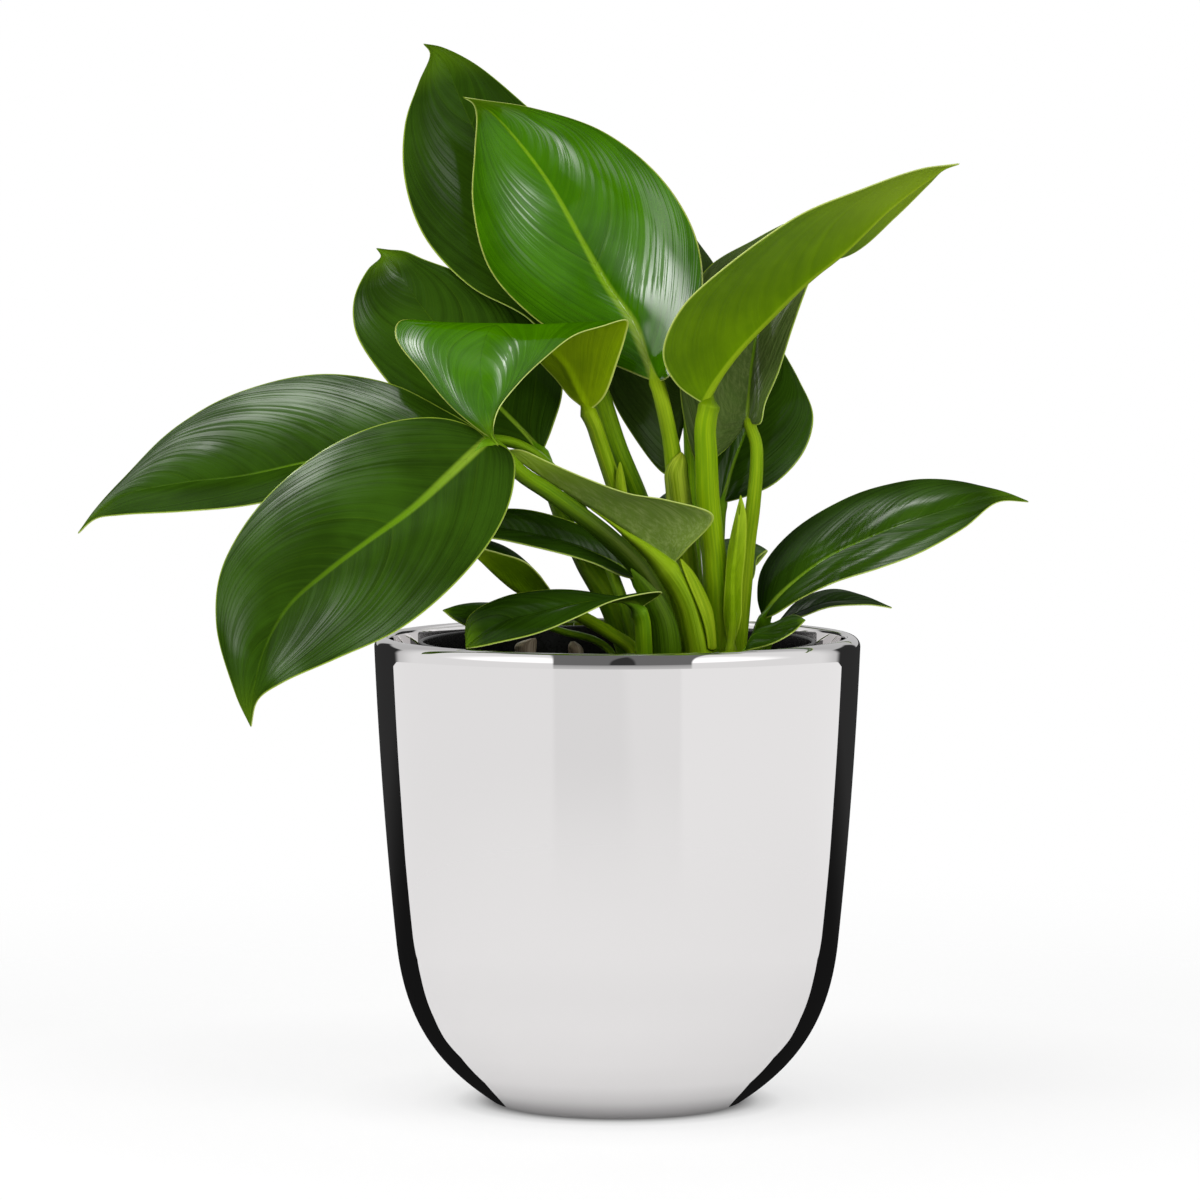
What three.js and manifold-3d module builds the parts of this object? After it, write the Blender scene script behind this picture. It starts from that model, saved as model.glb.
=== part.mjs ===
// A potted green princess philodendron: a plant in a black nursery pot, inside a round silver planter.
// Millimetres, +Z up. The origin is the centre of the planter's flat foot, and the front looks to -Y.
import * as THREE from "three";
import { mergeVertices } from "three/addons/utils/BufferGeometryUtils.js";
import Module from "manifold-3d";

const wasm = await Module();
wasm.setup();

// Planter
const PLANTER_HEIGHT = 141;
const PLANTER_RADIUS = 73.1;
const PLANTER_WALL = 4.6;
const PLANTER_FLOOR = 11;
const FOOT_RADIUS = 37;
const BELLY_HEIGHT = 48;
const BELLY_RADIUS = 66.6;
const LIP_OUTER_ROUND = 3.2;
const LIP_INNER_ROUND = 1.4;
const INNER_FLOOR_RADIUS = 42;
// What draws the planter's curves out: [radius, height] control points.
const BELLY_PULLS = [[54, 11], [64, 24]];
const WALL_PULLS = [[69.7, 77.9], [71.85, 107.9]];
const INNER_PULLS = [[59, 27], [53, PLANTER_FLOOR]];
// Straight steps along each of the planter's curves.
const CURVE_STEPS = { belly: 9, wall: 4, lipOuter: 4, lipInner: 2, inner: 6 };

// Nursery pot and soil
const CLEARANCE = 0.3;
const POT_RIM_RADIUS = 59.8;
const POT_BASE_RADIUS = 40;
const POT_TOP = 139.5;
const POT_BAND = 15;
const POT_STEP = 3;
const POT_WALL = 1.4;
const POT_EDGE = 1;
const POT_DRAFT = 0.4;
const DRAIN_COUNT = 6;
const DRAIN_RADIUS = 4;
const DRAIN_CIRCLE = 28;
const DRAIN_SIDES = 12;
const SOIL_TOP = 128;
const SOIL_SLOPE = 1.5;
const SOIL_CREST = 36;
const SOIL_SEGMENTS = 40;

// Crown, from which the stalks rise
const CROWN_X = 20;
const CROWN_Y = 2;
const CROWN_RADIUS = 21;
const CROWN_HEIGHT = 18;
const CROWN_EDGE = 2;
const CROWN_SEGMENTS = 20;
// The crown's radius low down, at its shoulder and on top, as shares of its widest.
const CROWN_TAPER = { foot: 0.6, shoulder: 0.95, top: 0.8 };
const FOOT_Z = 116;

// Blades and stalks
const BLADE_THICKNESS = 0.8;
const KEEL_DEPTH = 1;
// A stalk runs on under its midrib to these shares of the midrib's length, this deep in its own radii.
const STALK_RUN = [0.04, 0.14];
const RUN_DEPTH = [0.5, 0.25];
const STALK_END = 0.2;
const STALK_STEP = 10;
const STALK_SIDES = 8;
const FEWEST_STALK_STEPS = 6;
const UPRIGHT = 2;
const PUFF = 0.06;
const HOLE_CLEARANCE = 0.5;
const HOLE_PAST_TOP = 4;
const MERGE_WITHIN = 1e-4;
// Rows across a blade: 1 spaces them evenly, and less crowds them towards its base and tip.
const ROW_EVENNESS = 0.5;

const ROUND_SEGMENTS = 48;

const GREENS = {
  dark: 0x1f4a1a,
  fresh: 0x4d9a1c,
  under: 0x5f7d22,
  stalk: 0x86a83a,
};

// Each leaf has its stalk from the soil to the blade's base, then rows of
// [one margin, midrib, other margin] up to the tip. "up" is where its upper side looks.
const LEAVES = [
  {
    name: "leaf_tall_back",
    green: "dark",
    up: [0, -1, 0.3],
    steps: 14,
    radius: [3.4, 3],
    stalk: [[18.5, 24, 133], [16, 21, 147], [12, 17, 162.5], [6.5, 12, 181], [0, 10, 197], [-6, 12, 215.5]],
    rows: [
      [[-13.5, 9, 219.5], [-9, 15, 222.5], [-1.5, 15, 219]],
      [[-26.5, 13, 235.5], [-15.5, 22, 236], [1, 22, 234.5]],
      [[-44.5, 18, 245.5], [-24, 27, 252.5], [-0.5, 28, 255]],
      [[-58.5, 24, 260.5], [-32.5, 31, 270.5], [-8, 32, 274]],
      [[-64.5, 28, 277.5], [-40.5, 34, 286.5], [-18.5, 35, 291]],
      [[-64.5, 32, 294.5], [-47.5, 36, 301.5], [-30.5, 37, 302.5]],
      [[-60.5, 35, 307], [-52.5, 37, 313], [-43.5, 38, 313]],
      [[-57, 36, 316], [-56, 36, 317], [-53.5, 37, 318]],
    ],
    tip: [-59, 34, 319],
  },
  {
    name: "leaf_bright_main",
    green: "fresh",
    up: [0, -1, 0.3],
    steps: 14,
    radius: [3.6, 3.6, 3.5, 3.3, 3.2, 2.4, 2.3],
    stalk: [[23, 9, 134.5], [22, 7, 154], [19.5, 4, 175.5], [17.5, 2, 189], [16, 1, 199.5], [12, -1, 217]],
    rows: [
      [[5.5, 1, 219.5], [8.5, 4, 226], [16, -4, 219.5]],
      [[-8, 5, 225.5], [4.5, 8, 235.5], [24, -3, 234.5]],
      [[-26, 8, 237], [-3, 12, 246], [25.5, 1, 250]],
      [[-38.5, 10, 251], [-11, 15, 260], [22, 6, 264.5]],
      [[-43.5, 11, 270], [-20.5, 17, 276.5], [11.5, 10, 280]],
      [[-43, 14, 286.5], [-31, 18, 290.5], [-5, 13, 292.5]],
      [[-42.5, 15, 297], [-38.5, 17, 298.5], [-26.5, 15, 299.5]],
      [[-43.5, 13, 300.5], [-43, 14, 301], [-39.5, 14, 301.5]],
    ],
    tip: [-46.5, 11, 302.5],
  },
  {
    name: "leaf_middle_left",
    green: "dark",
    up: [0, -1, 0.5],
    steps: 13,
    radius: [3.5, 3.7, 4.6, 4.4, 2.8, 2.5, 2.4],
    stalk: [
      [4, -8, 135.5], [-1.5, -7, 152], [-9.5, -6, 164],
      [-16, -5, 176], [-20.5, -4, 188.5], [-22.5, -3, 196],
    ],
    rows: [
      [[-33.5, -6, 198], [-29, 0, 203], [-19.5, -1, 203.5]],
      [[-48.5, -3, 201], [-36, 4, 210], [-16.5, 6, 215]],
      [[-61.5, 3, 209.5], [-45, 9, 220], [-19.5, 15.5, 228.5]],
      [[-72, 9, 220.5], [-53.5, 14, 232], [-32, 21, 241]],
      [[-79, 13, 232], [-60.5, 18, 241], [-46.5, 22, 249]],
      [[-79.5, 17, 242], [-65.5, 20, 248.5], [-58.5, 22, 253.5]],
      [[-75.5, 18, 250.5], [-68.5, 20, 253], [-64.5, 22, 256]],
      [[-71.5, 20, 254.5], [-71, 20, 255.5], [-69.5, 21, 256.5]],
    ],
    tip: [-73, 20, 257],
  },
  {
    name: "leaf_bright_folded",
    green: "fresh",
    up: [0, 0, 1],
    puff: -0.02,
    steps: 18,
    radius: [3, 2.8, 2.5, 2.5],
    stalk: [
      [12, 2, 135], [8.5, 1, 154.5], [3.5, 0, 172.5],
      [-1.5, -1, 188], [-5.5, -2, 200], [-8.5, -4, 208.5],
    ],
    rows: [
      [[-14, -2, 212.5], [-11.5, -3, 214], [-4, -6, 213]],
      [[-19.5, 2, 219], [-16, -2, 223], [0, -8, 223.5]],
      [[-31, 5, 229], [-24.5, -2, 230.5], [2.5, -9, 231.5]],
      [[-54, 4, 235], [-32, -4, 234.5], [3, -12, 236]],
      [[-65, -2, 235.5], [-37.5, -10, 233.5], [-4.5, -16, 234.5]],
      [[-66, -9, 230.5], [-40, -18, 228], [-12.5, -20, 232]],
      [[-58, -18, 220.5], [-40.5, -26, 220], [-20.5, -25, 226]],
      [[-49, -26, 210.5], [-39, -31, 211], [-29.5, -30, 217.5]],
      [[-40, -32, 203.5], [-37.5, -34, 205], [-35.5, -34, 209.5]],
      [[-37.5, -35, 202], [-37, -36, 202.5], [-36.5, -35.5, 203.5]],
    ],
    tip: [-35, -36, 199.5],
  },
  {
    name: "leaf_rising_right",
    green: "under",
    up: [-0.7, 0, 0.7],
    steps: 14,
    radius: [3.6, 3.3],
    stalk: [[31, 0, 135], [30, 0, 148.5], [29, -1, 163.5], [27, -2, 182], [26.5, -3, 197], [26, -4, 210.5]],
    rows: [
      [[17.5, -9, 217], [29.5, -3, 217], [29.5, 3, 218.5]],
      [[13.5, -15, 226.5], [36, -3, 226], [31.5, 7, 229]],
      [[19.5, -19, 240.5], [45, -2, 235.5], [38.5, 10, 242]],
      [[34, -19, 253.5], [54.5, 0, 245], [51.5, 13, 251.5]],
      [[52.5, -15, 266.5], [66.5, 3, 254.5], [70, 13, 255]],
      [[74.5, -7, 275.5], [82, 7, 269], [84, 12, 266.5]],
      [[91, 2, 281], [94, 8, 278], [94, 10, 276.5]],
      [[98, 7, 282], [98.5, 8.5, 281], [98, 9, 280.5]],
    ],
    tip: [103, 10, 282.5],
  },
  {
    name: "leaf_behind_right",
    green: "dark",
    up: [0, -1, 0.3],
    steps: 12,
    radius: [2.5, 2.4, 2.3, 1.8],
    stalk: [
      [36.5, 5.5, 135], [37.5, 5, 146], [38.5, 5, 157.5], [39.5, 5, 169],
      [41, 5, 180.5], [42, 5, 193], [41.5, 6, 201], [39, 8, 204.5],
    ],
    rows: [
      [[32, 7, 196], [39.5, 9, 208.5], [43, 4, 204.5]],
      [[25, 8, 192], [40, 12, 214], [44.5, 4, 210.5]],
      [[20, 14, 207], [41, 16, 223], [48.5, 9, 219.5]],
      [[19.5, 21, 228], [43, 20, 234], [53, 15, 233]],
      [[26, 28, 249], [48, 25, 246], [57.5, 21, 245]],
      [[42, 32, 259.5], [55.5, 30, 257.5], [62, 26, 255.5]],
      [[55.5, 34, 266], [61, 32, 264.5], [65, 30, 263]],
    ],
    tip: [66, 34, 268],
  },
  {
    name: "leaf_shaded_center",
    green: "dark",
    up: [0, -1, 0.3],
    steps: 12,
    radius: [2.2, 1.8],
    stalk: [[26, 17, 133.5], [24, 17, 156.5], [22.5, 17, 181], [22, 18, 199], [21.5, 20, 210.5]],
    rows: [
      [[19, 17, 199], [21, 22, 217], [24.5, 18, 199]],
      [[15.5, 16, 188.5], [20.5, 24, 223], [27, 18, 192.5]],
      [[4, 20, 201.5], [19, 28, 233.5], [30, 24, 211]],
      [[-3.5, 25, 217], [17.5, 32, 245.5], [33, 30, 232]],
      [[-3.5, 31, 236.5], [15.5, 36, 257], [31.5, 36, 248]],
      [[1.5, 36, 255], [13.5, 39, 267], [24.5, 39, 259]],
    ],
    tip: [11.5, 42, 275],
  },
  {
    name: "leaf_back_right",
    green: "dark",
    up: [0, -1, 0.3],
    steps: 10,
    radius: [2, 1.6],
    stalk: [[30, 12, 134], [30.5, 12, 160], [31, 12, 172], [31.5, 12, 180]],
    rows: [
      [[28, 12, 181], [33, 14, 185], [38.5, 11, 182]],
      [[28, 14, 188.5], [35, 16, 191.5], [47.5, 12, 186]],
      [[29.5, 18, 200.5], [38.5, 19, 200.5], [56.5, 16, 195.5]],
      [[32.5, 23, 213.5], [42, 23, 209.5], [59.5, 21, 206]],
      [[38, 28, 223.5], [46, 28, 219], [55.5, 27, 216.5]],
    ],
    tip: [48, 33, 230],
  },
  {
    name: "leaf_far_left",
    green: "dark",
    up: [0, -0.5, 1],
    steps: 15,
    radius: [2, 1.6],
    stalk: [
      [5.5, -17, 136.5], [1.5, -15, 152.5], [-6, -10, 170.5], [-14.5, -10, 185.5],
      [-23, -12, 195], [-30.5, -15, 199.5], [-38, -18, 201],
    ],
    rows: [
      [[-42.5, -22, 197], [-46, -18, 200.5], [-41.5, -16, 203.5]],
      [[-55.5, -26, 192.5], [-60, -16, 199.5], [-51.5, -9, 209]],
      [[-71.5, -28, 188.5], [-76.5, -14, 196.5], [-67.5, -2, 216.5]],
      [[-90.5, -29, 185.5], [-94.5, -12, 193], [-88, 3, 219.5]],
      [[-110, -28, 181.5], [-113.5, -10, 189], [-110.5, 5, 215]],
      [[-129.5, -24, 179.5], [-131.5, -9, 187], [-131.5, 3, 204.5]],
      [[-148, -15, 178], [-147.5, -8, 183.5], [-148.5, -2, 188]],
      [[-156, -10, 176.5], [-155.5, -8, 178], [-156.5, -6, 179]],
    ],
    tip: [-161.5, -7, 172],
  },
  {
    name: "leaf_front_left",
    green: "dark",
    up: [-0.3, -1, 0.5],
    steps: 16,
    radius: [4, 4, 3.2, 2.8, 2.5, 2.3],
    stalk: [
      [15, -19, 136.5], [12.5, -20.5, 151.5], [6.5, -23, 162.5], [-1.5, -26, 171],
      [-10.5, -28.5, 178.5], [-20, -29, 185.5], [-29, -28.5, 191.5], [-38.5, -29, 201],
    ],
    rows: [
      [[-42.5, -28, 204.5], [-43, -34, 197], [-31.5, -32, 197.5]],
      [[-52.5, -29, 207.5], [-50, -40, 190.5], [-30.5, -40, 189]],
      [[-69, -33, 206], [-60, -46, 181.5], [-34.5, -49, 177]],
      [[-88, -39, 197.5], [-72.5, -52, 172.5], [-46, -58, 162]],
      [[-104.5, -45, 183], [-85, -57, 163.5], [-63, -65, 148]],
      [[-115.5, -51, 165], [-96, -60, 153.5], [-81.5, -69, 139.5]],
      [[-117, -56, 148.5], [-102.5, -61, 141.5], [-97, -68, 132.5]],
      [[-111.5, -58, 128.5], [-106, -60, 128.5], [-104.5, -63, 127]],
    ],
    tip: [-107, -57, 118.5],
  },
  {
    name: "leaf_center_curled",
    green: "under",
    up: [0.3, 0.6, 1],
    steps: 12,
    radius: [5, 5, 4.4, 3.8],
    stalk: [[24, -9, 135.5], [22, -10, 146.5], [19.5, -10.5, 155.5], [16.5, -11, 163]],
    rows: [
      [[20.5, -14, 167.5], [11.5, -11, 167], [17.5, -6, 166.5]],
      [[28.5, -19, 178], [5.5, -13, 171.5], [18.5, -4, 174]],
      [[15.5, -22, 182.5], [-2, -16, 177], [8.5, -6, 180]],
      [[3, -25, 185], [-10, -19, 182], [-3, -9, 184]],
      [[-9.5, -27, 189.5], [-18.5, -22, 187.5], [-13.5, -15, 188.5]],
      [[-20.5, -28, 194.5], [-25, -25, 192], [-22, -20, 193]],
      [[-28.5, -27, 198], [-30.5, -26, 196], [-30, -24, 196.5]],
    ],
    tip: [-33, -25, 198],
  },
  {
    name: "leaf_low_left",
    green: "dark",
    up: [0, -0.5, 1],
    steps: 9,
    radius: [2.2, 1.8],
    stalk: [[9.5, -14, 136], [8, -14, 152.5], [7, -14, 158.5]],
    rows: [
      [[1.5, -19, 160], [1, -17, 163], [3, -15, 165.5]],
      [[-8, -24, 164.5], [-9, -20, 168], [-5, -16, 172]],
      [[-20, -27, 168], [-20, -22, 171.5], [-17, -17, 177.5]],
      [[-32.5, -28, 171], [-32.5, -23, 174], [-29.5, -18, 180]],
      [[-43.5, -27, 172.5], [-43.5, -24, 175], [-41.5, -20, 179]],
    ],
    tip: [-53, -26, 174],
  },
  {
    name: "leaf_rim_front",
    green: "dark",
    up: [0, -0.5, 1],
    steps: 10,
    radius: [2.8, 2.6],
    stalk: [[8, -29, 137.5], [7.5, -30, 147], [7, -30, 151.5]],
    rows: [
      [[13, -37, 156.5], [4.5, -32, 154], [5, -29, 153.5]],
      [[-1, -43, 154.5], [-3.5, -35, 154], [-3, -28, 155]],
      [[-12, -49, 150], [-12.5, -38, 153], [-12.5, -29, 156.5]],
      [[-23.5, -52, 145.5], [-23.5, -42, 150.5], [-23, -32, 156.5]],
      [[-34.5, -53, 143], [-34, -46, 148], [-34, -37, 155]],
      [[-41, -52, 141.5], [-41, -49, 144], [-44, -44, 149.5]],
    ],
    tip: [-44.5, -50, 141],
  },
  {
    name: "leaf_rim_left",
    green: "dark",
    up: [0, -0.3, 1],
    steps: 6,
    radius: [1.3, 1.1],
    stalk: [[-1.5, -18, 136.5], [-6, -17, 140.5], [-17, -16, 143.5], [-26, -16, 146.5]],
    rows: [
      [[-32.5, -26, 145], [-32.5, -21, 149], [-31.5, -14, 151.5]],
      [[-42, -36, 145.5], [-41.5, -30, 150], [-39, -22, 152.5]],
      [[-48, -39, 148.5], [-47.5, -36, 151], [-46.5, -32, 152.5]],
    ],
    tip: [-51.5, -41, 151.5],
  },
  {
    name: "leaf_folded_low",
    green: "under",
    up: [0.3, 0, 1],
    steps: 8,
    radius: [2.3, 2],
    stalk: [[5, -24, 138], [-1.5, -23, 143], [-9.5, -21, 147.5], [-17.5, -18, 151.5]],
    rows: [
      [[-21.5, -23, 158.5], [-23, -18, 153], [-21, -11, 156.5]],
      [[-27.5, -28, 165], [-29.5, -20, 156], [-23.5, -9, 160]],
      [[-35, -29, 167.5], [-36, -22, 161], [-30.5, -11, 166.5]],
      [[-40.5, -28, 169], [-41.5, -25, 166], [-38.5, -17, 170.5]],
    ],
    tip: [-47.5, -26, 171.5],
  },
  {
    name: "leaf_far_right",
    green: "dark",
    up: [0, -0.5, 1],
    steps: 14,
    radius: [2.2, 2],
    stalk: [[41.5, 9.5, 134.5], [42.5, 8, 140.5], [44, 5, 145.5]],
    rows: [
      [[47.5, -3, 147.5], [47.5, 2, 151], [42.5, 10, 151.5]],
      [[54.5, -10, 152.5], [53.5, 0, 157], [44, 16, 160]],
      [[65, -16, 158], [62.5, -3, 164], [52.5, 19, 170.5]],
      [[78, -20, 162.5], [74, -6, 170], [66, 17, 179.5]],
      [[91.5, -22, 168], [90, -10, 176.5], [81, 12, 185.5]],
      [[103, -21, 174.5], [104.5, -13, 181], [97, 3, 188]],
      [[113, -18, 182], [116.5, -15, 183.5], [111.5, -8, 185.5]],
    ],
    tip: [122.5, -16, 182],
  },
  {
    name: "leaf_low_right",
    green: "dark",
    up: [0, -0.5, 1],
    steps: 6,
    radius: [1.6, 1.4],
    stalk: [[44.5, 15, 134], [46, 14, 138.5], [48, 13, 143]],
    rows: [
      [[55, 4, 146], [55.5, 14, 147], [55.5, 22, 150]],
      [[64.5, 5, 149], [64.5, 15, 150], [65, 25, 153]],
      [[75, 10, 149.5], [74.5, 16, 150.5], [74.5, 22, 151.5]],
    ],
    tip: [83.5, 16, 148],
  },
  {
    name: "leaf_rim_right",
    green: "dark",
    up: [0, -0.5, 1],
    steps: 6,
    radius: [1.5, 1.3],
    stalk: [[38, -11, 133.5], [38, -11, 137]],
    rows: [
      [[40, -17, 138], [40.5, -13, 142], [42, -8, 143]],
      [[47, -24, 140.5], [46, -17, 143.5], [47, -9, 145.5]],
      [[52, -24, 143.5], [51.5, -20, 145.5], [52.5, -13, 148]],
    ],
    tip: [56, -20, 147],
  },
  {
    name: "leaf_back_low",
    green: "dark",
    up: [0, -0.5, 1],
    steps: 9,
    radius: [2.2, 1.8],
    stalk: [[33.5, 20, 133.5], [35, 22, 144], [37, 24, 152.5]],
    rows: [
      [[31, 34, 157], [36.5, 36, 158], [41.5, 34, 155.5]],
      [[29.5, 50, 164], [36.5, 52, 165], [43, 50, 160]],
      [[32, 68, 165], [38.5, 70, 165.5], [44.5, 68, 160.5]],
      [[36.5, 84, 163], [42, 86, 163], [47.5, 84, 161]],
    ],
    tip: [44.5, 100, 155.5],
  },
  {
    name: "leaf_back_narrow",
    green: "dark",
    up: [0, -0.5, 1],
    steps: 9,
    radius: [2.2, 1.8],
    stalk: [[14, 30, 132.5], [14.5, 31, 146.5], [17, 30, 161.5]],
    rows: [
      [[12, 38, 169], [17, 40, 170.5], [22.5, 38, 169]],
      [[12.5, 52, 176], [17, 54, 178], [23, 52, 176]],
      [[13, 66, 178], [17, 68, 180.5], [23, 66, 178.5]],
      [[15, 82, 175.5], [18, 84, 177], [22, 82, 175.5]],
    ],
    tip: [21, 98, 168.5],
  },
  {
    name: "sheath_pointed",
    green: "stalk",
    up: [0, 1, 0],
    steps: 6,
    radius: [2, 1.8],
    stalk: [[34, -6, 133.5], [34, -6, 137]],
    rows: [
      [[32, -5, 146], [34.5, -8, 146], [37, -5.5, 146]],
      [[32.5, -4.5, 158], [34.5, -8, 158], [37.5, -5, 158]],
      [[33.5, -4, 168.5], [35.5, -7.5, 168.5], [38.5, -5, 168.5]],
      [[35.5, -3.5, 178], [36.5, -6, 178], [38.5, -4.5, 178]],
    ],
    tip: [37, -4, 183.5],
  },
];

// A geometry's vertices, merged, as a solid that can be joined or cut.
function solid(geometry) {
  const bare = new THREE.BufferGeometry();
  bare.setAttribute("position", geometry.getAttribute("position"));
  bare.setIndex(geometry.index);
  const merged = mergeVertices(bare, MERGE_WITHIN);
  return new wasm.Manifold(
    new wasm.Mesh({
      numProp: 3,
      vertProperties: new Float32Array(merged.attributes.position.array),
      triVerts: new Uint32Array(merged.index.array),
    }),
  );
}

function geometryOf(body) {
  const mesh = body.getMesh();
  const geometry = new THREE.BufferGeometry();
  geometry.setAttribute("position", new THREE.BufferAttribute(mesh.vertProperties, 3));
  geometry.setIndex(new THREE.BufferAttribute(mesh.triVerts, 1));
  geometry.computeVertexNormals();
  return geometry;
}

// A body of revolution about Z, from a profile of [radius, height] points.
function turned(profile, segments = ROUND_SEGMENTS) {
  const points = profile.map(([radius, height]) => new THREE.Vector2(radius, height));
  return new THREE.LatheGeometry(points, segments).rotateX(Math.PI / 2);
}

const vector = (point) => new THREE.Vector3(...point);
const curveThrough = (points) => new THREE.CatmullRomCurve3(points.map(vector));

function bezier(points, steps) {
  const [a, b, c, d] = points.map(([x, y]) => new THREE.Vector2(x, y));
  return new THREE.CubicBezierCurve(a, b, c, d).getPoints(steps).map((p) => [p.x, p.y]);
}

function arc(centre, radius, from, to, steps) {
  return Array.from({ length: steps + 1 }, (_, i) => {
    const angle = THREE.MathUtils.degToRad(from + ((to - from) * i) / steps);
    return [centre[0] + radius * Math.cos(angle), centre[1] + radius * Math.sin(angle)];
  });
}

// The planter: a round belly on a small flat foot, a slightly bowed wall and a rounded lip.
function planterGeometry() {
  const lipLow = PLANTER_HEIGHT - LIP_OUTER_ROUND;
  const belly = bezier(
    [[FOOT_RADIUS, 0], ...BELLY_PULLS, [BELLY_RADIUS, BELLY_HEIGHT]], CURVE_STEPS.belly,
  );
  const wall = bezier(
    [[BELLY_RADIUS, BELLY_HEIGHT], ...WALL_PULLS, [PLANTER_RADIUS, lipLow]], CURVE_STEPS.wall,
  );
  const lipOuter = arc(
    [PLANTER_RADIUS - LIP_OUTER_ROUND, lipLow], LIP_OUTER_ROUND, 0, 90, CURVE_STEPS.lipOuter,
  );
  const innerEdge = PLANTER_RADIUS - PLANTER_WALL;
  const lipInner = arc(
    [innerEdge + LIP_INNER_ROUND, PLANTER_HEIGHT - LIP_INNER_ROUND],
    LIP_INNER_ROUND, 90, 180, CURVE_STEPS.lipInner,
  );
  const inner = bezier(
    [[BELLY_RADIUS - PLANTER_WALL, BELLY_HEIGHT], ...INNER_PULLS, [INNER_FLOOR_RADIUS, PLANTER_FLOOR]],
    CURVE_STEPS.inner,
  );
  return turned([
    [0, 0], ...belly, ...wall.slice(1, -1), ...lipOuter, ...lipInner, ...inner, [0, PLANTER_FLOOR],
  ]);
}

const potBase = PLANTER_FLOOR + CLEARANCE;
const potBandFoot = POT_TOP - POT_BAND;
const potBodyTop = POT_RIM_RADIUS - POT_STEP;
const potInnerAt = (height) =>
  POT_BASE_RADIUS - POT_WALL
  + ((potBodyTop - POT_BASE_RADIUS) * (height - potBase)) / (potBandFoot - potBase);

// The nursery pot: a tapered wall, a step out to a rim band, and drain holes in its floor.
function potGeometry() {
  const band = POT_RIM_RADIUS - POT_WALL;
  const profile = [
    [0, potBase],
    [POT_BASE_RADIUS - POT_EDGE, potBase],
    [POT_BASE_RADIUS, potBase + POT_EDGE],
    [potBodyTop, potBandFoot],
    [POT_RIM_RADIUS - POT_DRAFT, potBandFoot + POT_EDGE],
    [POT_RIM_RADIUS, POT_TOP - POT_EDGE / 2],
    [POT_RIM_RADIUS - POT_EDGE / 2, POT_TOP],
    [band, POT_TOP],
    [band - POT_DRAFT, potBandFoot + 2 * POT_EDGE],
    [potInnerAt(potBandFoot), potBandFoot + POT_EDGE],
    [POT_BASE_RADIUS - POT_WALL, potBase + POT_WALL],
    [0, potBase + POT_WALL],
  ];
  let body = solid(turned(profile));
  for (let i = 0; i < DRAIN_COUNT; i++) {
    const angle = (2 * Math.PI * i) / DRAIN_COUNT;
    const hole = new THREE.CylinderGeometry(DRAIN_RADIUS, DRAIN_RADIUS, 4 * POT_WALL, DRAIN_SIDES)
      .rotateX(Math.PI / 2)
      .translate(DRAIN_CIRCLE * Math.cos(angle), DRAIN_CIRCLE * Math.sin(angle), potBase);
    body = body.subtract(solid(hole));
  }
  return geometryOf(body);
}

// The crown: the low woody stem base in the soil that the stalks rise from.
function crownGeometry(grow = 0) {
  const top = FOOT_Z - CLEARANCE + grow;
  const bottom = FOOT_Z - CLEARANCE - CROWN_HEIGHT - grow;
  const radius = CROWN_RADIUS + grow;
  return turned(
    [
      [0, bottom],
      [radius * CROWN_TAPER.foot, bottom + CROWN_EDGE],
      [radius, (bottom + top) / 2],
      [radius * CROWN_TAPER.shoulder, top - CROWN_EDGE],
      [radius * CROWN_TAPER.top, top],
      [0, top],
    ],
    CROWN_SEGMENTS,
  ).translate(CROWN_X, CROWN_Y, 0);
}

// The soil fills the pot; each stalk stands in a plain hole, and the crown in a hollow below them.
function soilGeometry() {
  const bottom = potBase + POT_WALL + CLEARANCE;
  const reach = (height) => potInnerAt(height) - 2 * CLEARANCE;
  const profile = [
    [0, bottom],
    [reach(bottom), bottom],
    [reach(potBandFoot), potBandFoot],
    [reach(potBandFoot), SOIL_TOP - SOIL_SLOPE],
    [SOIL_CREST, SOIL_TOP],
    [0, SOIL_TOP],
  ];
  const depth = SOIL_TOP + HOLE_PAST_TOP - FOOT_Z + HOLE_CLEARANCE;
  let body = solid(turned(profile, SOIL_SEGMENTS)).subtract(solid(crownGeometry(CLEARANCE)));
  for (const leaf of LEAVES) {
    const [x, y] = leaf.stalk[0];
    const thickest = Math.max(...leaf.radius.slice(0, 2));
    const radius = (thickest + HOLE_CLEARANCE) / Math.cos(Math.PI / STALK_SIDES);
    const hole = new THREE.CylinderGeometry(radius, radius, depth, STALK_SIDES)
      .rotateX(Math.PI / 2)
      .translate(x, y, FOOT_Z - HOLE_CLEARANCE + depth / 2);
    body = body.subtract(solid(hole));
  }
  return geometryOf(body);
}

// A closed tube along a curve, with a radius that changes along it.
function tube(curve, radiusAt, steps, sides) {
  const frames = curve.computeFrenetFrames(steps, false);
  const positions = [];
  const index = [];
  for (let i = 0; i <= steps; i++) {
    const centre = curve.getPointAt(i / steps);
    for (let k = 0; k < sides; k++) {
      const angle = (2 * Math.PI * k) / sides;
      const point = centre
        .clone()
        .addScaledVector(frames.normals[i], radiusAt(i / steps) * Math.cos(angle))
        .addScaledVector(frames.binormals[i], radiusAt(i / steps) * Math.sin(angle));
      positions.push(...point);
      if (i < steps) {
        const a = i * sides + k;
        const b = i * sides + ((k + 1) % sides);
        index.push(a, b, a + sides, b, b + sides, a + sides);
      }
    }
  }
  const last = steps * sides;
  for (let k = 1; k < sides - 1; k++) {
    index.push(0, k + 1, k);
    index.push(last, last + k, last + k + 1);
  }
  const geometry = new THREE.BufferGeometry();
  geometry.setAttribute("position", new THREE.Float32BufferAttribute(positions, 3));
  geometry.setIndex(index);
  return geometry;
}

// Columns across a blade, from one margin to the other, as shares of the half width.
const COLUMNS = [-1, -0.7, -0.35, 0, 0.35, 0.7, 1];

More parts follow.
